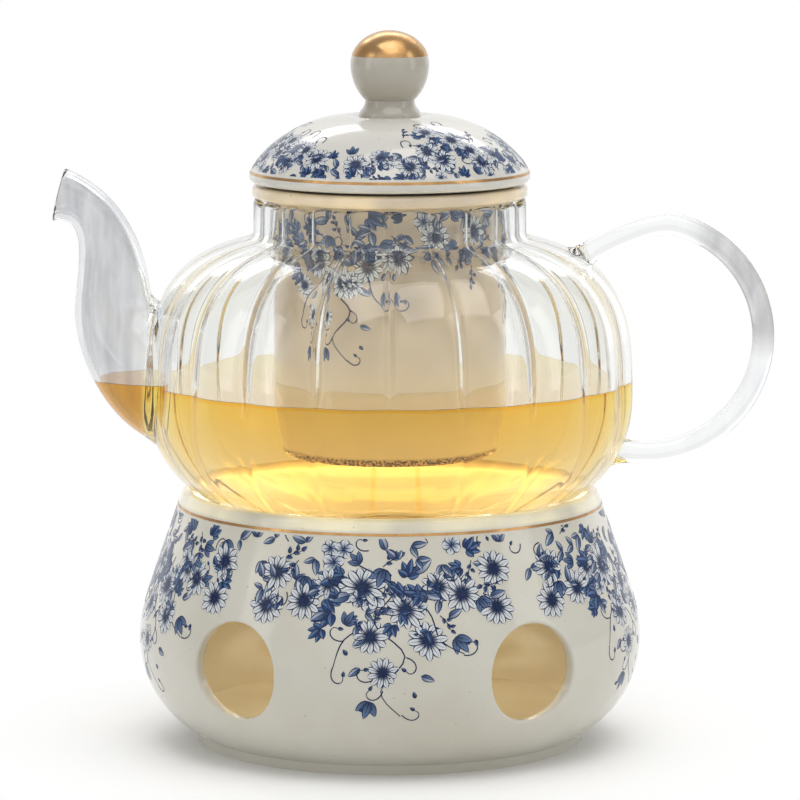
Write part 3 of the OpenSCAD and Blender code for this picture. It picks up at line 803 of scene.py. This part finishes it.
# %% The tea's surface
SKIN, SKIN_LIFT, TOP_SLICE, FLAT = 0.1, 0.05, 0.02, 0.9
pick(tea)
bpy.ops.object.duplicate()
skin = named("tea_surface")
edit_all(skin)
bpy.ops.mesh.bisect(plane_co=(0, 0, (TEA_Z - TOP_SLICE) * MM), plane_no=(0, 0, 1), clear_inner=True)
bpy.ops.mesh.select_mode(type="FACE")
bpy.ops.mesh.select_all(action="DESELECT")
bpy.ops.object.mode_set(mode="OBJECT")
for face in skin.data.polygons:
    face.select = face.normal.z < FLAT
bpy.ops.object.mode_set(mode="EDIT")
bpy.ops.mesh.delete(type="FACE")
bpy.ops.mesh.select_all(action="SELECT")
bpy.ops.transform.translate(value=(0, 0, SKIN_LIFT * MM))
bpy.ops.mesh.extrude_region_move(TRANSFORM_OT_translate={"value": (0, 0, SKIN * MM)})
bpy.ops.mesh.select_mode(type="VERT")
tidy_faces(skin, 40)
settle(skin, "pot", "tea", tea_gloss)
for piece in (glass, tea, skin):
    piece.visible_shadow = False

# %% [markdown]
# The infuser is a thrown cylinder with a wide flange. It hangs in the pot by that flange,
# and its floor has steeping holes, drilled by cylinders in four rings.

# %% The infuser's outline
RIM_TOP = POT_Z + NECK_TOP
FLANGE_Z, FLANGE_TOP, FLANGE_R = RIM_TOP + 0.3, RIM_TOP + 3.7, 37.35
TUBE_R, TUBE_IN, BASE_OUT, BASE_Z, TAPER_Z = 32.4, 29.4, 28.75, 78.95, 100.95
foot_edge, side_start = (BASE_OUT - 1.5, BASE_Z), (BASE_OUT + 0.3, BASE_Z + 2.0)
infuser_wall = ([(0.0, BASE_Z), foot_edge]
                + curve(foot_edge, (BASE_OUT - 0.3, BASE_Z), (BASE_OUT + 0.1, BASE_Z + 0.8),
                        side_start, 6)[1:]
                + curve(side_start, (BASE_OUT + 1.9, BASE_Z + 12), (TUBE_R, TAPER_Z - 5),
                        (TUBE_R, TAPER_Z + 2), 14)[1:]
                + [(TUBE_R, FLANGE_Z - 1.2)] + arc((TUBE_R + 0.9, FLANGE_Z - 0.9), 0.9, 180, 90, 4)
                + arc((FLANGE_R - 1.1, FLANGE_Z + 1.1), 1.1, -90, 0, 5)
                + arc((FLANGE_R - 1.4, FLANGE_TOP - 1.4), 1.4, 0, 90, 6)
                + arc((TUBE_IN + 1.2, FLANGE_TOP - 1.2), 1.2, 90, 180, 5)
                + [(TUBE_IN, TAPER_Z), (BASE_OUT - 3, BASE_Z + 4), (BASE_OUT - 5, BASE_Z + 3),
                   (0.0, BASE_Z + 3)])
infuser = turned("infuser_pot", infuser_wall)
print("infuser from", BASE_Z, "to", round(FLANGE_TOP, 2), "mm")

# %% The steeping holes
HOLE_R, HOLE_STEP, HOLE_RINGS = 1.2, 5.2, 4
for ring in range(HOLE_RINGS):
    for i in range(max(1, 6 * ring)):
        turn = math.radians(60 * i / max(1, ring))
        out = HOLE_STEP * ring
        leave_all()
        bpy.ops.mesh.primitive_cylinder_add(
            vertices=20, radius=HOLE_R * MM, depth=8 * MM,
            location=(out * math.cos(turn) * MM, out * math.sin(turn) * MM, (BASE_Z + 1.5) * MM))
        combine(infuser, bpy.context.object, "DIFFERENCE")
tidy_faces(infuser, 30)
settle(infuser, "infuser", "glaze", infuser_glaze, "infuser")

# %% [markdown]
# The lid is a low dome with a ring under it that keeps it from sliding. The knob is thrown
# apart from it and luted on: a ball whose underside is drawn down like a bulb to a short
# neck, and a soft flare that meets the dome.

# %% The lid
LID_Z, LID_EDGE_Z, LID_R, DOME_TOP, FLARE_R = 152.25, 154.15, 38.1, 170.25, 8.4
RING_OUT, RING_IN, RING_ROUND = 28.5, 26.0, 0.6
RING_LOW = LID_Z - 5.4
dome = curve((LID_R, LID_EDGE_Z), (LID_R - 0.2, LID_EDGE_Z + 5.3), (FLARE_R + 14.1, DOME_TOP + 2.7),
             (FLARE_R, DOME_TOP), 48)
hollow = [p for p in offset_outline(dome, 4.0) if 0 < p[0] < RING_IN]
lid_outline = ([(0.0, DOME_TOP - 4), (0.0, DOME_TOP)] + dome[::-1]
               + arc((LID_R - 1.5, LID_EDGE_Z), 1.5, 0, -90, 8)[1:]
               + [(34.2, LID_EDGE_Z - 1.5), (33.4, LID_Z), (RING_OUT + 0.8, LID_Z),
                  (RING_OUT, LID_Z - 0.8), (RING_OUT, RING_LOW)]
               + arc((RING_OUT - RING_ROUND, RING_LOW), RING_ROUND, 0, -90, 4)
               + arc((RING_IN + RING_ROUND, RING_LOW), RING_ROUND, -90, -180, 4)
               + [(RING_IN, hollow[0][1])] + hollow)
lid = turned("lid_dome", lid_outline)
settle(lid, "lid", "glaze", white_glaze, "lid")

# %% The knob
BALL_Z, BALL_R, BALL_DROP, KNOB_TOP, KNOB_NECK_R, FLARE_H = 184.45, 10.65, 12.5, 193.45, 6.7, 3.8


def ball_point(degrees, height):
    turn = math.radians(degrees)
    return (BALL_R * math.cos(turn), BALL_Z + height * math.sin(turn))


knob_flare = [(FLARE_R, DOME_TOP)] + curve(
    (FLARE_R, DOME_TOP + 0.5), (FLARE_R - 0.2, DOME_TOP + 2.0), (KNOB_NECK_R, DOME_TOP + 2.2),
    (KNOB_NECK_R, DOME_TOP + FLARE_H + 0.7), 16)
bulb = [ball_point(-a, BALL_DROP) for a in range(48, -3, -3)]
neck = curve(knob_flare[-1], (KNOB_NECK_R, DOME_TOP + FLARE_H + 1.0),
             (bulb[0][0] - 0.3, bulb[0][1] - 0.4), bulb[0], 4)[1:-1]
crown = [ball_point(90 * i / 24, KNOB_TOP - BALL_Z) for i in range(1, 24)] + [(0.0, KNOB_TOP)]
knob = turned("knob_ball", [(0.0, DOME_TOP)] + knob_flare + neck + bulb + crown)
settle(knob, "lid", "glaze", knob_shaded_glaze, "lid_knob")

# %% [markdown]
# The gilding is a band a hair above the glaze, brushed on as the pot turns on a wheel. Each
# band follows the outline of the piece below it.


# %% Bands of gold
PRINT = 0.05
STAND_LINE, LID_LINE, CAP_UP = (64.8, 65.5), (155.1, 155.8), 2.2


def band(name, outline, body):
    piece = turned(name, offset_outline(outline, -PRINT) + outline[::-1])
    settle(piece, body, "glaze", gilding)


def outline_between(points, low, high, count=4):
    """The stretch of an outline from height low to height high."""
    picked = []
    for i in range(count + 1):
        z = low + (high - low) * i / count
        for p, q in zip(points, points[1:]):
            if min(p[1], q[1]) <= z <= max(p[1], q[1]) and p[1] != q[1]:
                t = (z - p[1]) / (q[1] - p[1])
                picked.append((p[0] + t * (q[0] - p[0]), p[1] + t * (q[1] - p[1])))
                break
    return picked


band("stand_gold_line", outline_between(stand_outside, *STAND_LINE), "warmer")
band("lid_gold_line", outline_between(dome[:30], *LID_LINE), "lid")
band("knob_gold_cap", [p for p in bulb[-1:] + crown if p[1] > BALL_Z + CAP_UP], "lid")
print("gilded: stand line, lid line, knob cap")

# %% [markdown]
# The blue flowers are a transfer: ink drawn on a thin film, laid on the fired glaze. Here
# each motif is a thin film too. A petal or leaf is drawn flat, as a strip of small faces
# with an inked edge, and every point is then laid on the outline of its own piece. Drawing
# by hand tools would not bend it to the wall, so the film is built as mesh in code, with
# each ink kept as a colour attribute on the corners of its faces.

# %% Inks and the transfer's finish
INK, MID, WASH, PALE = (colour(16, 32, 66), colour(40, 72, 118), colour(104, 130, 166),
                        colour(206, 210, 212))
transfer, tree, shader, coordinates = new_material("blue_transfer", Specular_IOR_Level=0.12,
                                                   Coat_Weight=0.1, Coat_Roughness=0.04)
inked = add(tree, "ShaderNodeAttribute", {"attribute_name": "ink"})
bleed = remap(tree, noise(tree, coordinates, 1400, 2.0), 0.3, 0.7, 0.0, 0.08)
tree.links.new(blend_colour(tree, bleed, inked.outputs["Color"], colour(120, 138, 186)),
               shader.inputs["Base Color"])
tree.links.new(remap(tree, noise(tree, coordinates, 120), 0.3, 0.7, 0.1, 0.2),
               shader.inputs["Roughness"])
chance = random.Random(7)
print("inks mixed")


# %% A pen that draws on a turned wall
class Pen:
    """Draws in mm on a turned wall: x runs round it to the right, y runs along its outline."""

    LAYERS, LAYER_LIFT = 6, 0.004

    def __init__(self, outline, lift):
        self.outline, self.lift, self.turn = outline, lift, 0.0
        self.lengths = [0.0]
        for p, q in zip(outline, outline[1:]):
            self.lengths.append(self.lengths[-1] + math.dist(p, q))
        self.points, self.faces, self.inks, self.layer = [], [], [], 0

    def on_outline(self, y):
        """Radius, height and outward direction of the wall at y."""
        y = min(max(y, 0.0), self.lengths[-1] - 1e-6)
        i = max(k for k, s in enumerate(self.lengths[:-1]) if s <= y)
        p, q = self.outline[i], self.outline[i + 1]
        t = (y - self.lengths[i]) / (self.lengths[i + 1] - self.lengths[i])
        run = math.dist(p, q)
        normal = ((q[1] - p[1]) / run, -(q[0] - p[0]) / run)
        if normal[0] < -0.2 or normal[1] < -0.9:
            normal = (-normal[0], -normal[1])
        return p[0] + t * (q[0] - p[0]), p[1] + t * (q[1] - p[1]), normal

    def lay(self, x, y, centre):
        """A point on the wall: its distance from the motif's centre holds as the wall narrows."""
        r0 = self.on_outline(centre[1])[0]
        r, z, normal = self.on_outline(y)
        angle = self.turn + centre[0] / r0 + (x - centre[0]) / r
        up = self.lift + self.LAYER_LIFT * (self.layer % self.LAYERS)
        r, z = r + up * normal[0], z + up * normal[1]
        return Vector((r * math.cos(angle), r * math.sin(angle), z)) * MM

    def face(self, corners, inks):
        start = len(self.points)
        self.points += corners
        self.faces.append(list(range(start, start + len(corners))))
        self.inks.append(inks)

    def strip(self, at, heading, rows):
        """rows: distance along, distances across and the inks between those, for each section."""
        ca, sa = math.cos(heading), math.sin(heading)
        grid = [[self.lay(at[0] + a * ca - w * sa, at[1] + a * sa + w * ca, at) for w in across]
                for a, across, _ in rows]
        for i in range(len(rows) - 1):
            for j in range(len(rows[i][1]) - 1):
                near, far = rows[i][2][j], rows[i + 1][2][j]
                quad = [grid[i][j], grid[i + 1][j], grid[i + 1][j + 1], grid[i][j + 1]]
                self.face(quad, [near, far, far, near])

    def blade(self, at, heading, length, width, fills, edge, blunt, steps=5, fade=(0.0, 1.0),
              swell=0.75):
        """A petal or leaf: fills are the inks at its root and its tip on each side of the vein."""
        self.layer += 1
        edge = min(edge, 0.13 * width)
        rows = []
        for i in range(steps + 1):
            t = i / steps
            half = width / 2 * math.sin(math.pi * t ** blunt) ** swell if 0 < i < steps else 0.0
            inside = max(half - edge, 0.0)
            line = min(0.15 * (1 - t), inside)
            mix = held((t - fade[0]) / (fade[1] - fade[0]))
            left = tuple(a + (b - a) * mix for a, b in zip(fills[0], fills[1]))
            right = tuple(a + (b - a) * mix for a, b in zip(fills[2], fills[3]))
            rows.append((length * t, [-half, -inside, -line, line, inside, half],
                         [INK, left, INK, right, INK]))
        self.strip(at, heading, rows)

    def dot(self, at, radius, sides=10):
        self.layer += 1
        ring = [self.lay(at[0] + radius * math.cos(2 * math.pi * k / sides),
                         at[1] + radius * math.sin(2 * math.pi * k / sides), at)
                for k in range(sides)]
        self.face(ring, [INK] * sides)

    def stroke(self, points, width=0.38):
        """A thin line, drawn as a smooth curve through its points and finer at its end."""
        self.layer += 1
        line = []
        ends = [points[0]] + list(points) + [points[-1]]
        for a, b, c, d in zip(ends, ends[1:], ends[2:], ends[3:]):
            for i in range(5):
                t = i / 5
                line.append(tuple(0.5 * (2 * b[k] + (c[k] - a[k]) * t
                                         + (2 * a[k] - 5 * b[k] + 4 * c[k] - d[k]) * t * t
                                         + (3 * b[k] - a[k] - 3 * c[k] + d[k]) * t ** 3)
                                  for k in (0, 1)))
        line.append(points[-1])
        sides = []
        for i, p in enumerate(line):
            before, after = line[max(i - 1, 0)], line[min(i + 1, len(line) - 1)]
            run = math.dist(before, after) or 1.0
            w = width / 2 * (1 if i < len(line) * 0.7 else 0.7)
            n = (-(after[1] - before[1]) / run * w, (after[0] - before[0]) / run * w)
            sides.append([self.lay(p[0] + side * n[0], p[1] + side * n[1], p) for side in (-1, 1)])
        for (a, b), (c, d) in zip(sides, sides[1:]):
            self.face([a, c, d, b], [INK] * 4)

    def film(self, name, body):
        """Makes one piece of all that was drawn, without faces that shrank to nothing."""
        mesh = bpy.data.meshes.new(name)
        piece = bpy.data.objects.new(name, mesh)
        bpy.context.collection.objects.link(piece)
        sheet = bmesh.new()
        ink = sheet.loops.layers.float_color.new("ink")
        for corners, inks in zip(self.faces, self.inks):
            distinct = [k for k, before in zip(corners, corners[-1:] + corners[:-1])
                        if (self.points[k] - self.points[before]).length > 1e-8]
            if len(distinct) < 3:
                continue
            face = sheet.faces.new([sheet.verts.new(self.points[k]) for k in distinct])
            for loop, k in zip(face.loops, distinct):
                loop[ink] = inks[k - corners[0]]
        sheet.to_mesh(mesh)
        sheet.free()
        settle(piece, body, "glaze", transfer)


print("a film has", Pen.LAYERS, "layers,", Pen.LAYER_LIFT, "mm apart")

# %% [markdown]
# The motifs are the usual ones of blue and white ware: daisies, blossoms, tulips, leaves,
# ivy, buds, twigs and curls. Each is a few petals or leaves set at angles. Chance moves and
# turns them a little, with a fixed seed, so that no two are alike and each run is the same.


# %% The motifs
class Garland(Pen):
    """A pen that knows the motifs; at is the middle or the foot of a motif, turn its heading."""

    def daisy(self, at, radius):
        turn = chance.uniform(0, 1)
        for k in range(12):
            self.blade(at, turn + math.pi * k / 6, radius * chance.uniform(0.86, 1.06), radius * 0.4,
                       (INK, PALE, INK, PALE), 0.32, 1.5, 8, (0.32, 0.52), 0.5)
        self.dot(at, radius * 0.27, sides=12)

    def blossom(self, at, radius, turn):
        for k in range(5):
            self.blade(at, turn + math.pi * k / 2.5, radius, radius * 0.95, (MID, PALE, WASH, PALE),
                       0.3, 1.3, 7, (0.1, 0.7), 0.55)
        self.dot(at, radius * 0.22)

    def fan(self, at, size, turn, width, fills, blunt, spread):
        """Leaves from one point: spread holds the angle and the length of each."""
        for angle, long in spread:
            self.blade(at, turn + angle, size * long, size * width, fills, 0.28, blunt, 6)

    def tulip(self, at, size, turn):
        self.fan(at, size, turn, 0.42, (INK, WASH, INK, WASH), 0.8,
                 ((-0.62, 0.86), (0.62, 0.86), (0.0, 1.0)))

    def leaf(self, at, length, turn):
        self.fan(at, length, turn, 0.5, (INK, WASH, MID, PALE), 0.75, ((0.0, 1.0),))

    def ivy(self, at, size, turn):
        self.fan(at, size, turn, 0.4, (INK, MID, MID, WASH), 0.75,
                 ((-1.15, 0.62), (1.15, 0.62), (-0.55, 0.86), (0.55, 0.86), (0.0, 1.0)))

    def bud(self, at, size, turn):
        self.blade(at, turn, size, size * 0.62, (INK, MID, INK, WASH), 0.2, 0.7)

    def twig(self, at, size, turn):
        """A bent stalk with five small dark leaves."""
        def along(t, off):
            bend = turn + 0.5 * (t - 0.5)
            return (at[0] + size * (t * math.cos(bend) - off * math.sin(bend)),
                    at[1] + size * (t * math.sin(bend) + off * math.cos(bend)))
        self.stroke([along(0, 0), along(0.5, 0.06), along(1, 0)], 0.28)
        for t, side in ((0.25, 1), (0.45, -1), (0.65, 1), (0.85, -1), (1.0, 0)):
            self.bud(along(t, 0.0), size * 0.34, turn + side * 0.9)

    def curl(self, at, size, turn, hand):
        """A thin tendril that ends in a hook with a small bud on it."""
        heading, p, line = turn, at, [at]
        for i in range(7):
            heading += hand * (0.1 + 0.13 * i)
            p = (p[0] + size / 6 * math.cos(heading), p[1] + size / 6 * math.sin(heading))
            line.append(p)
        self.stroke(line, 0.34)
        self.bud(line[-1], size * 0.26, heading)

    def sprig(self, at, step):
        """One motif, picked by chance: a pair of leaves, ivy, a blossom, a tulip, a twig or a curl."""
        turn, pick_one = chance.uniform(0, 2 * math.pi), chance.random()
        if pick_one < 0.28:
            self.leaf(at, step * chance.uniform(0.75, 1.0), turn)
            self.leaf(at, step * chance.uniform(0.55, 0.8), turn + chance.uniform(1.0, 2.4))
        elif pick_one < 0.52:
            self.ivy(at, step * chance.uniform(0.8, 1.05), turn)
        elif pick_one < 0.62:
            self.blossom(at, step * chance.uniform(0.45, 0.6), turn)
        elif pick_one < 0.76:
            self.tulip(at, step * chance.uniform(0.8, 1.0), turn)
        elif pick_one < 0.9:
            self.twig(at, step * chance.uniform(0.9, 1.2), turn)
        else:
            self.curl(at, step * 1.1, turn, chance.choice((-1, 1)))

    def thicket(self, left, right, top, low, step):
        """Fills a band with sprigs, row by row, each a little astray."""
        y, row = top, 0
        while y <= low:
            x = left + step * (0.5 if row % 2 else 0.0)
            while x <= right:
                self.sprig((x + chance.uniform(-0.3, 0.3) * step,
                            y + chance.uniform(-0.25, 0.25) * step), step)
                x += step
            y, row = y + step * 0.82, row + 1

    def daisies(self, radius, *places):
        for at in places:
            self.daisy(at, radius)


print("motifs: daisy, blossom, tulip, leaf, ivy, bud, twig and curl")

# %% [markdown]
# The stand's print is a garland under the gold line, and between each pair of vents a spray
# hangs down from it. The code that lays out a spray is used for the stand and the infuser,
# and each copy differs a little by chance.


# %% A hanging spray
def spray(pen, drop, flowers, size=1.0):
    """A stem that hangs down from the garland, with daisies, ivy, tulips and curls."""
    def at(x, y):
        return (x * size + chance.uniform(-0.4, 0.4), y * drop + chance.uniform(-0.3, 0.3))
    pen.stroke([at(-6, 7), at(3, 13), at(-2, 22), at(6, 31), at(0, 40), at(5, 47)])
    pen.stroke([at(3, 13), at(12, 19), at(15, 27), at(22, 31)])
    pen.stroke([at(-2, 22), at(-10, 27), at(-13, 34)])
    for x, y, turn, length in ((-9, 10, 2.6, 5.5), (8, 9, -0.5, 6), (10, 14, 0.7, 5.5), (-8, 15, 2.9, 6),
                               (-4, 26, 2.6, 4.5), (9, 24, 0.3, 5), (10, 36, 0.6, 4), (-6, 34, 2.3, 4),
                               (2, 11, 1.2, 5), (17, 21, -0.4, 4.5)):
        pen.leaf(at(x, y), length * size, turn + chance.uniform(-0.3, 0.3))
    for x, y, turn in ((12, 13, 0.2), (-13, 20, 2.7), (-12, 11, 3.4)):
        pen.ivy(at(x, y), 6.2 * size, turn)
    for x, y, turn in ((0, 8, 1.9), (16, 10, 0.4), (-3, 43, 1.9), (19, 26, 0.9)):
        pen.tulip(at(x, y), 5.6 * size, turn)
    for x, y, turn, hand in ((0, 40, 1.9, 1), (6, 31, 0.3, 1), (-13, 34, 2.0, -1), (22, 31, 0.2, -1),
                             (-10, 27, 3.0, 1), (5, 47, 0.9, -1), (-2, 37, 2.7, 1)):
        pen.curl(at(x, y), 6.5 * size, turn, hand)
    for x, y, radius in flowers:
        pen.daisy(at(x, y), radius * size)
    for x, y in ((-9, 31), (13, 24), (-17, 24), (9, 42), (-6, 46), (25, 27)):
        pen.bud(at(x, y), 2.0 * size, chance.uniform(0, 6))


print("a spray hangs from three stems")

# %% The stand's garland
INK_LIFT = PRINT * 0.4
GARLAND_TOP, GARLAND_LOW = 64.2, 14.0
stand_pen = Garland(outline_between(stand_outside, GARLAND_TOP, GARLAND_LOW, count=68), INK_LIFT)
for i in range(VENTS):
    stand_pen.turn = math.radians(VENT_TURN + 360 / VENTS * i - 90)
    stand_pen.thicket(-35, 35, 2.4, 16.0, 5.2)
    stand_pen.thicket(-16, 16, 15.5, 26.0, 4.8)
    stand_pen.daisies(5.3, (-29, 10), (-21, 17), (21, 15), (30, 9), (-32, 19), (31, 19))
    for x in (-26, -18, 18, 27):
        stand_pen.curl((x, 15), 6.0, chance.uniform(1.0, 2.0), 1 if x < 0 else -1)
    spray(stand_pen, 1.0, ((-5, 13, 6.2), (6, 19, 5.6), (-3, 26, 5.2), (12, 27, 5.4), (0, 35, 4.4),
                           (-14, 12, 4.4), (15, 13, 4.6)))
stand_pen.film("stand_flowers", "warmer")

# %% [markdown]
# The infuser has the same garland under its flange, and the lid has one along its gold line
# that climbs to the knob in places. The pen is the same, so both are only laid out here.

# %% The infuser's flowers
tube_wall = [(TUBE_R, FLANGE_Z - 1.0 - i * 1.5) for i in range(30)]
infuser_pen = Garland(tube_wall, INK_LIFT)
for turn in (-118, 2, 122):
    infuser_pen.turn = math.radians(turn)
    infuser_pen.thicket(-34, 33, 2.0, 17.0, 4.8)
    infuser_pen.daisies(4.4, (-28, 6), (-18, 14), (18, 13), (28, 7), (3, 19), (10, 15))
    spray(infuser_pen, 0.85, ((-5, 17, 5.0), (7, 23, 4.8), (-4, 33, 4.4), (-12, 24, 4.2)), 0.8)
infuser_pen.film("infuser_flowers", "infuser")

# %% The lid's flowers
LID_PRINT_Z, LID_PRINT_R = 156.2, 10
lid_pen = Garland([p for p in dome if p[1] > LID_PRINT_Z and p[0] > LID_PRINT_R], INK_LIFT)
for i in range(6):
    lid_pen.turn = math.radians(60 * i)
    lid_pen.thicket(-20, 20, 1.2, 7.6, 3.7)
    for x, y, radius in ((-13, 4, 3.8), (-3, 6, 4.2), (9, 4.5, 4.0), (15, 7, 3.4)):
        lid_pen.daisy((x, y), radius)
for turn, tall in ((-150, 14), (-62, 21), (0, 15), (62, 20), (128, 15), (180, 18)):
    lid_pen.turn = math.radians(turn)
    lid_pen.thicket(-9, 9, 9.0, tall * 0.85, 3.9)
    for x, y, radius in ((-5, 9, 4.0), (4, tall * 0.65, 3.9), (-2, tall * 0.85, 3.4), (8, 9, 3.6)):
        lid_pen.daisy((x, y), radius)
    for x, y in ((-11, 11), (0, tall), (11, 12), (5, tall)):
        lid_pen.curl((x, y), 5.0, chance.uniform(0.9, 2.2), chance.choice((-1, 1)))
lid_pen.film("lid_flowers", "lid")

# %% [markdown]
# The tealight is a pressed metal cup of wax with a wick on a small plate. Little of it is
# seen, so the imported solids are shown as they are, and only get their finishes.

# %% The tealight
def mottled(name, scale, detail, first, second, **values):
    """A finish whose colour drifts between two tones."""
    material, tree, shader, coordinates = new_material(name, **values)
    tree.links.new(blend_colour(tree, noise(tree, coordinates, scale, detail), colour(*first),
                                colour(*second)), shader.inputs["Base Color"])
    return material, tree, shader, coordinates


tin, tree, shader, coordinates = mottled("rolled_tin", 300, 3.0, (196, 198, 202), (170, 172, 178),
                                         Metallic=1.0)
tree.links.new(remap(tree, noise(tree, coordinates, 500, 2.0), 0.3, 0.7, 0.22, 0.42),
               shader.inputs["Roughness"])
wax = mottled("paraffin", 160, 2.0, (240, 238, 230), (228, 224, 212), Subsurface_Weight=0.3,
              Subsurface_Scale=2.0 * MM, Roughness=0.35)[0]
wick = mottled("braided_wick", 2500, 2.0, (226, 216, 190), (176, 160, 128), Roughness=0.9)[0]
for name, material in (("tealight_cup", tin), ("wick_sustainer", tin), ("tealight_wax", wax),
                       ("tealight_wick", wick)):
    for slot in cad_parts[name].material_slots:
        slot.material = material
print("tealight dressed")

# %% [markdown]
# The studio is plain: a pale floor, a white world behind, and large soft lamps above, at
# both sides and behind. The floor fades into white away from the stand, so that it has no
# horizon. Clear glass shows only what is round it, so the world it mirrors and bends is
# bright in front and behind and greyer at the sides, which draws the pot's edges. What
# lights the clay is a dimmer, even sky, so that pale glaze keeps its tone.

# %% The floor
FLOOR_FADE = (60.0, 115.0)
leave_all()
bpy.ops.mesh.primitive_circle_add(vertices=96, radius=3.0, fill_type="NGON", location=(0, 0, 0))
floor = named("floor")
floor_paint, tree, shader, coordinates = new_material("floor_paint", Roughness=0.6,
                                                      Base_Color=colour(250, 250, 249))
reach = add(tree, "ShaderNodeVectorMath", {"operation": "LENGTH"})
tree.links.new(coordinates, reach.inputs[0])
rays = tree.nodes.new("ShaderNodeLightPath").outputs
seen = calculate(tree, "MAXIMUM", rays["Is Camera Ray"], rays["Is Transmission Ray"])
seen = calculate(tree, "MAXIMUM", seen, rays["Is Glossy Ray"])
white = add(tree, "ShaderNodeEmission", Color=(1, 1, 1, 1), Strength=1.0)
both = tree.nodes.new("ShaderNodeMixShader")
plug(tree, calculate(tree, "MULTIPLY", zone(tree, reach.outputs["Value"], *FLOOR_FADE), seen),
     both.inputs[0])
plug(tree, shader.outputs[0], both.inputs[1])
plug(tree, white.outputs[0], both.inputs[2])
plug(tree, both.outputs[0], tree.nodes["Material Output"].inputs["Surface"])
floor.data.materials.append(floor_paint)
print("the floor is white from", FLOOR_FADE[1], "mm out")

# %% The world
world = bpy.data.worlds.new("studio")
bpy.context.scene.world = world
world.use_nodes = True
tree = world.node_tree
tree.nodes.clear()
rays = tree.nodes.new("ShaderNodeLightPath").outputs
direction = tree.nodes.new("ShaderNodeTexCoord").outputs["Generated"]
front_or_back = calculate(tree, "ABSOLUTE", axes(tree, direction)["Y"])


def grey(level):
    return (level, level, level, 1)


bands = blend_colour(tree, remap(tree, front_or_back, 0.42, 0.72), (0.55, 0.55, 0.57, 1), grey(1.2))
bands = blend_colour(tree, remap(tree, front_or_back, 0.86, 0.96), bands, grey(0.92))
shown = blend_colour(tree, rays["Is Camera Ray"], bands, grey(1.0))
lighting = blend_colour(tree, rays["Is Transmission Ray"], grey(0.58), (0.7, 0.64, 0.52, 1))
after_clay = calculate(tree, "GREATER_THAN", rays["Diffuse Depth"], 0.5)
sky = add(tree, "ShaderNodeBackground")
plug(tree, blend_colour(tree, after_clay, shown, lighting), sky.inputs["Color"])
plug(tree, sky.outputs[0], tree.nodes.new("ShaderNodeOutputWorld").inputs[0])
print("world:", len(tree.nodes), "nodes")

# %% [markdown]
# Light that enters the pot meets many walls of glass before it comes out, and where Cycles
# stops following it the glass turns black, so the number of bounces is raised. A small warm
# lamp in the stand stands for the light that the candle and the glaze throw up into the
# tea. It is hidden from direct view and from view through the glass.


# %% The lamps
def softbox(name, size, power, place, aim=(0, 0, 0.09)):
    light = bpy.data.lights.new(name, "AREA")
    light.shape = "RECTANGLE"
    light.size, light.size_y = size
    light.energy = power
    lamp = bpy.data.objects.new(name, light)
    bpy.context.collection.objects.link(lamp)
    lamp.location = place
    lamp.rotation_euler = (Vector(aim) - Vector(place)).to_track_quat("-Z", "Y").to_euler()
    return lamp


softbox("top_box", (0.9, 0.9), 4.5, (0.1, -0.25, 1.1))
softbox("left_box", (0.35, 1.1), 1.5, (-1.0, -0.45, 0.45))
softbox("right_box", (0.35, 1.1), 1.5, (1.0, -0.35, 0.5))
softbox("back_box", (1.2, 0.25), 2.5, (0.0, 0.75, 0.85))
glow = softbox("stand_glow", (0.07, 0.07), 0.17, (0, 0, 0.046))
glow.data.color = (1.0, 0.97, 0.90)
glow.visible_camera = glow.visible_transmission = False
cycles = bpy.context.scene.cycles
cycles.max_bounces = cycles.transmission_bounces = 32
cycles.glossy_bounces = 16
print("studio lit")

# %% [markdown]
# A long lens from far off keeps the pot's upright lines upright, as product views do. The
# camera stands a little above the set and looks down by a few degrees.

# %% The camera
TILT = math.radians(7.85)
scene = bpy.context.scene
scene.view_settings.view_transform = "Standard"
lens = bpy.data.cameras.new("camera")
lens.sensor_width, lens.lens = 36.0, 222.75
lens.clip_start, lens.clip_end = 0.05, 20.0
camera = bpy.data.objects.new("camera", lens)
bpy.context.collection.objects.link(camera)
camera.location = (0.00275, -1.3353, 0.277)
camera.rotation_euler = (math.pi / 2 - TILT, 0, 0)
scene.camera = camera
print("camera", [round(v, 4) for v in camera.location])
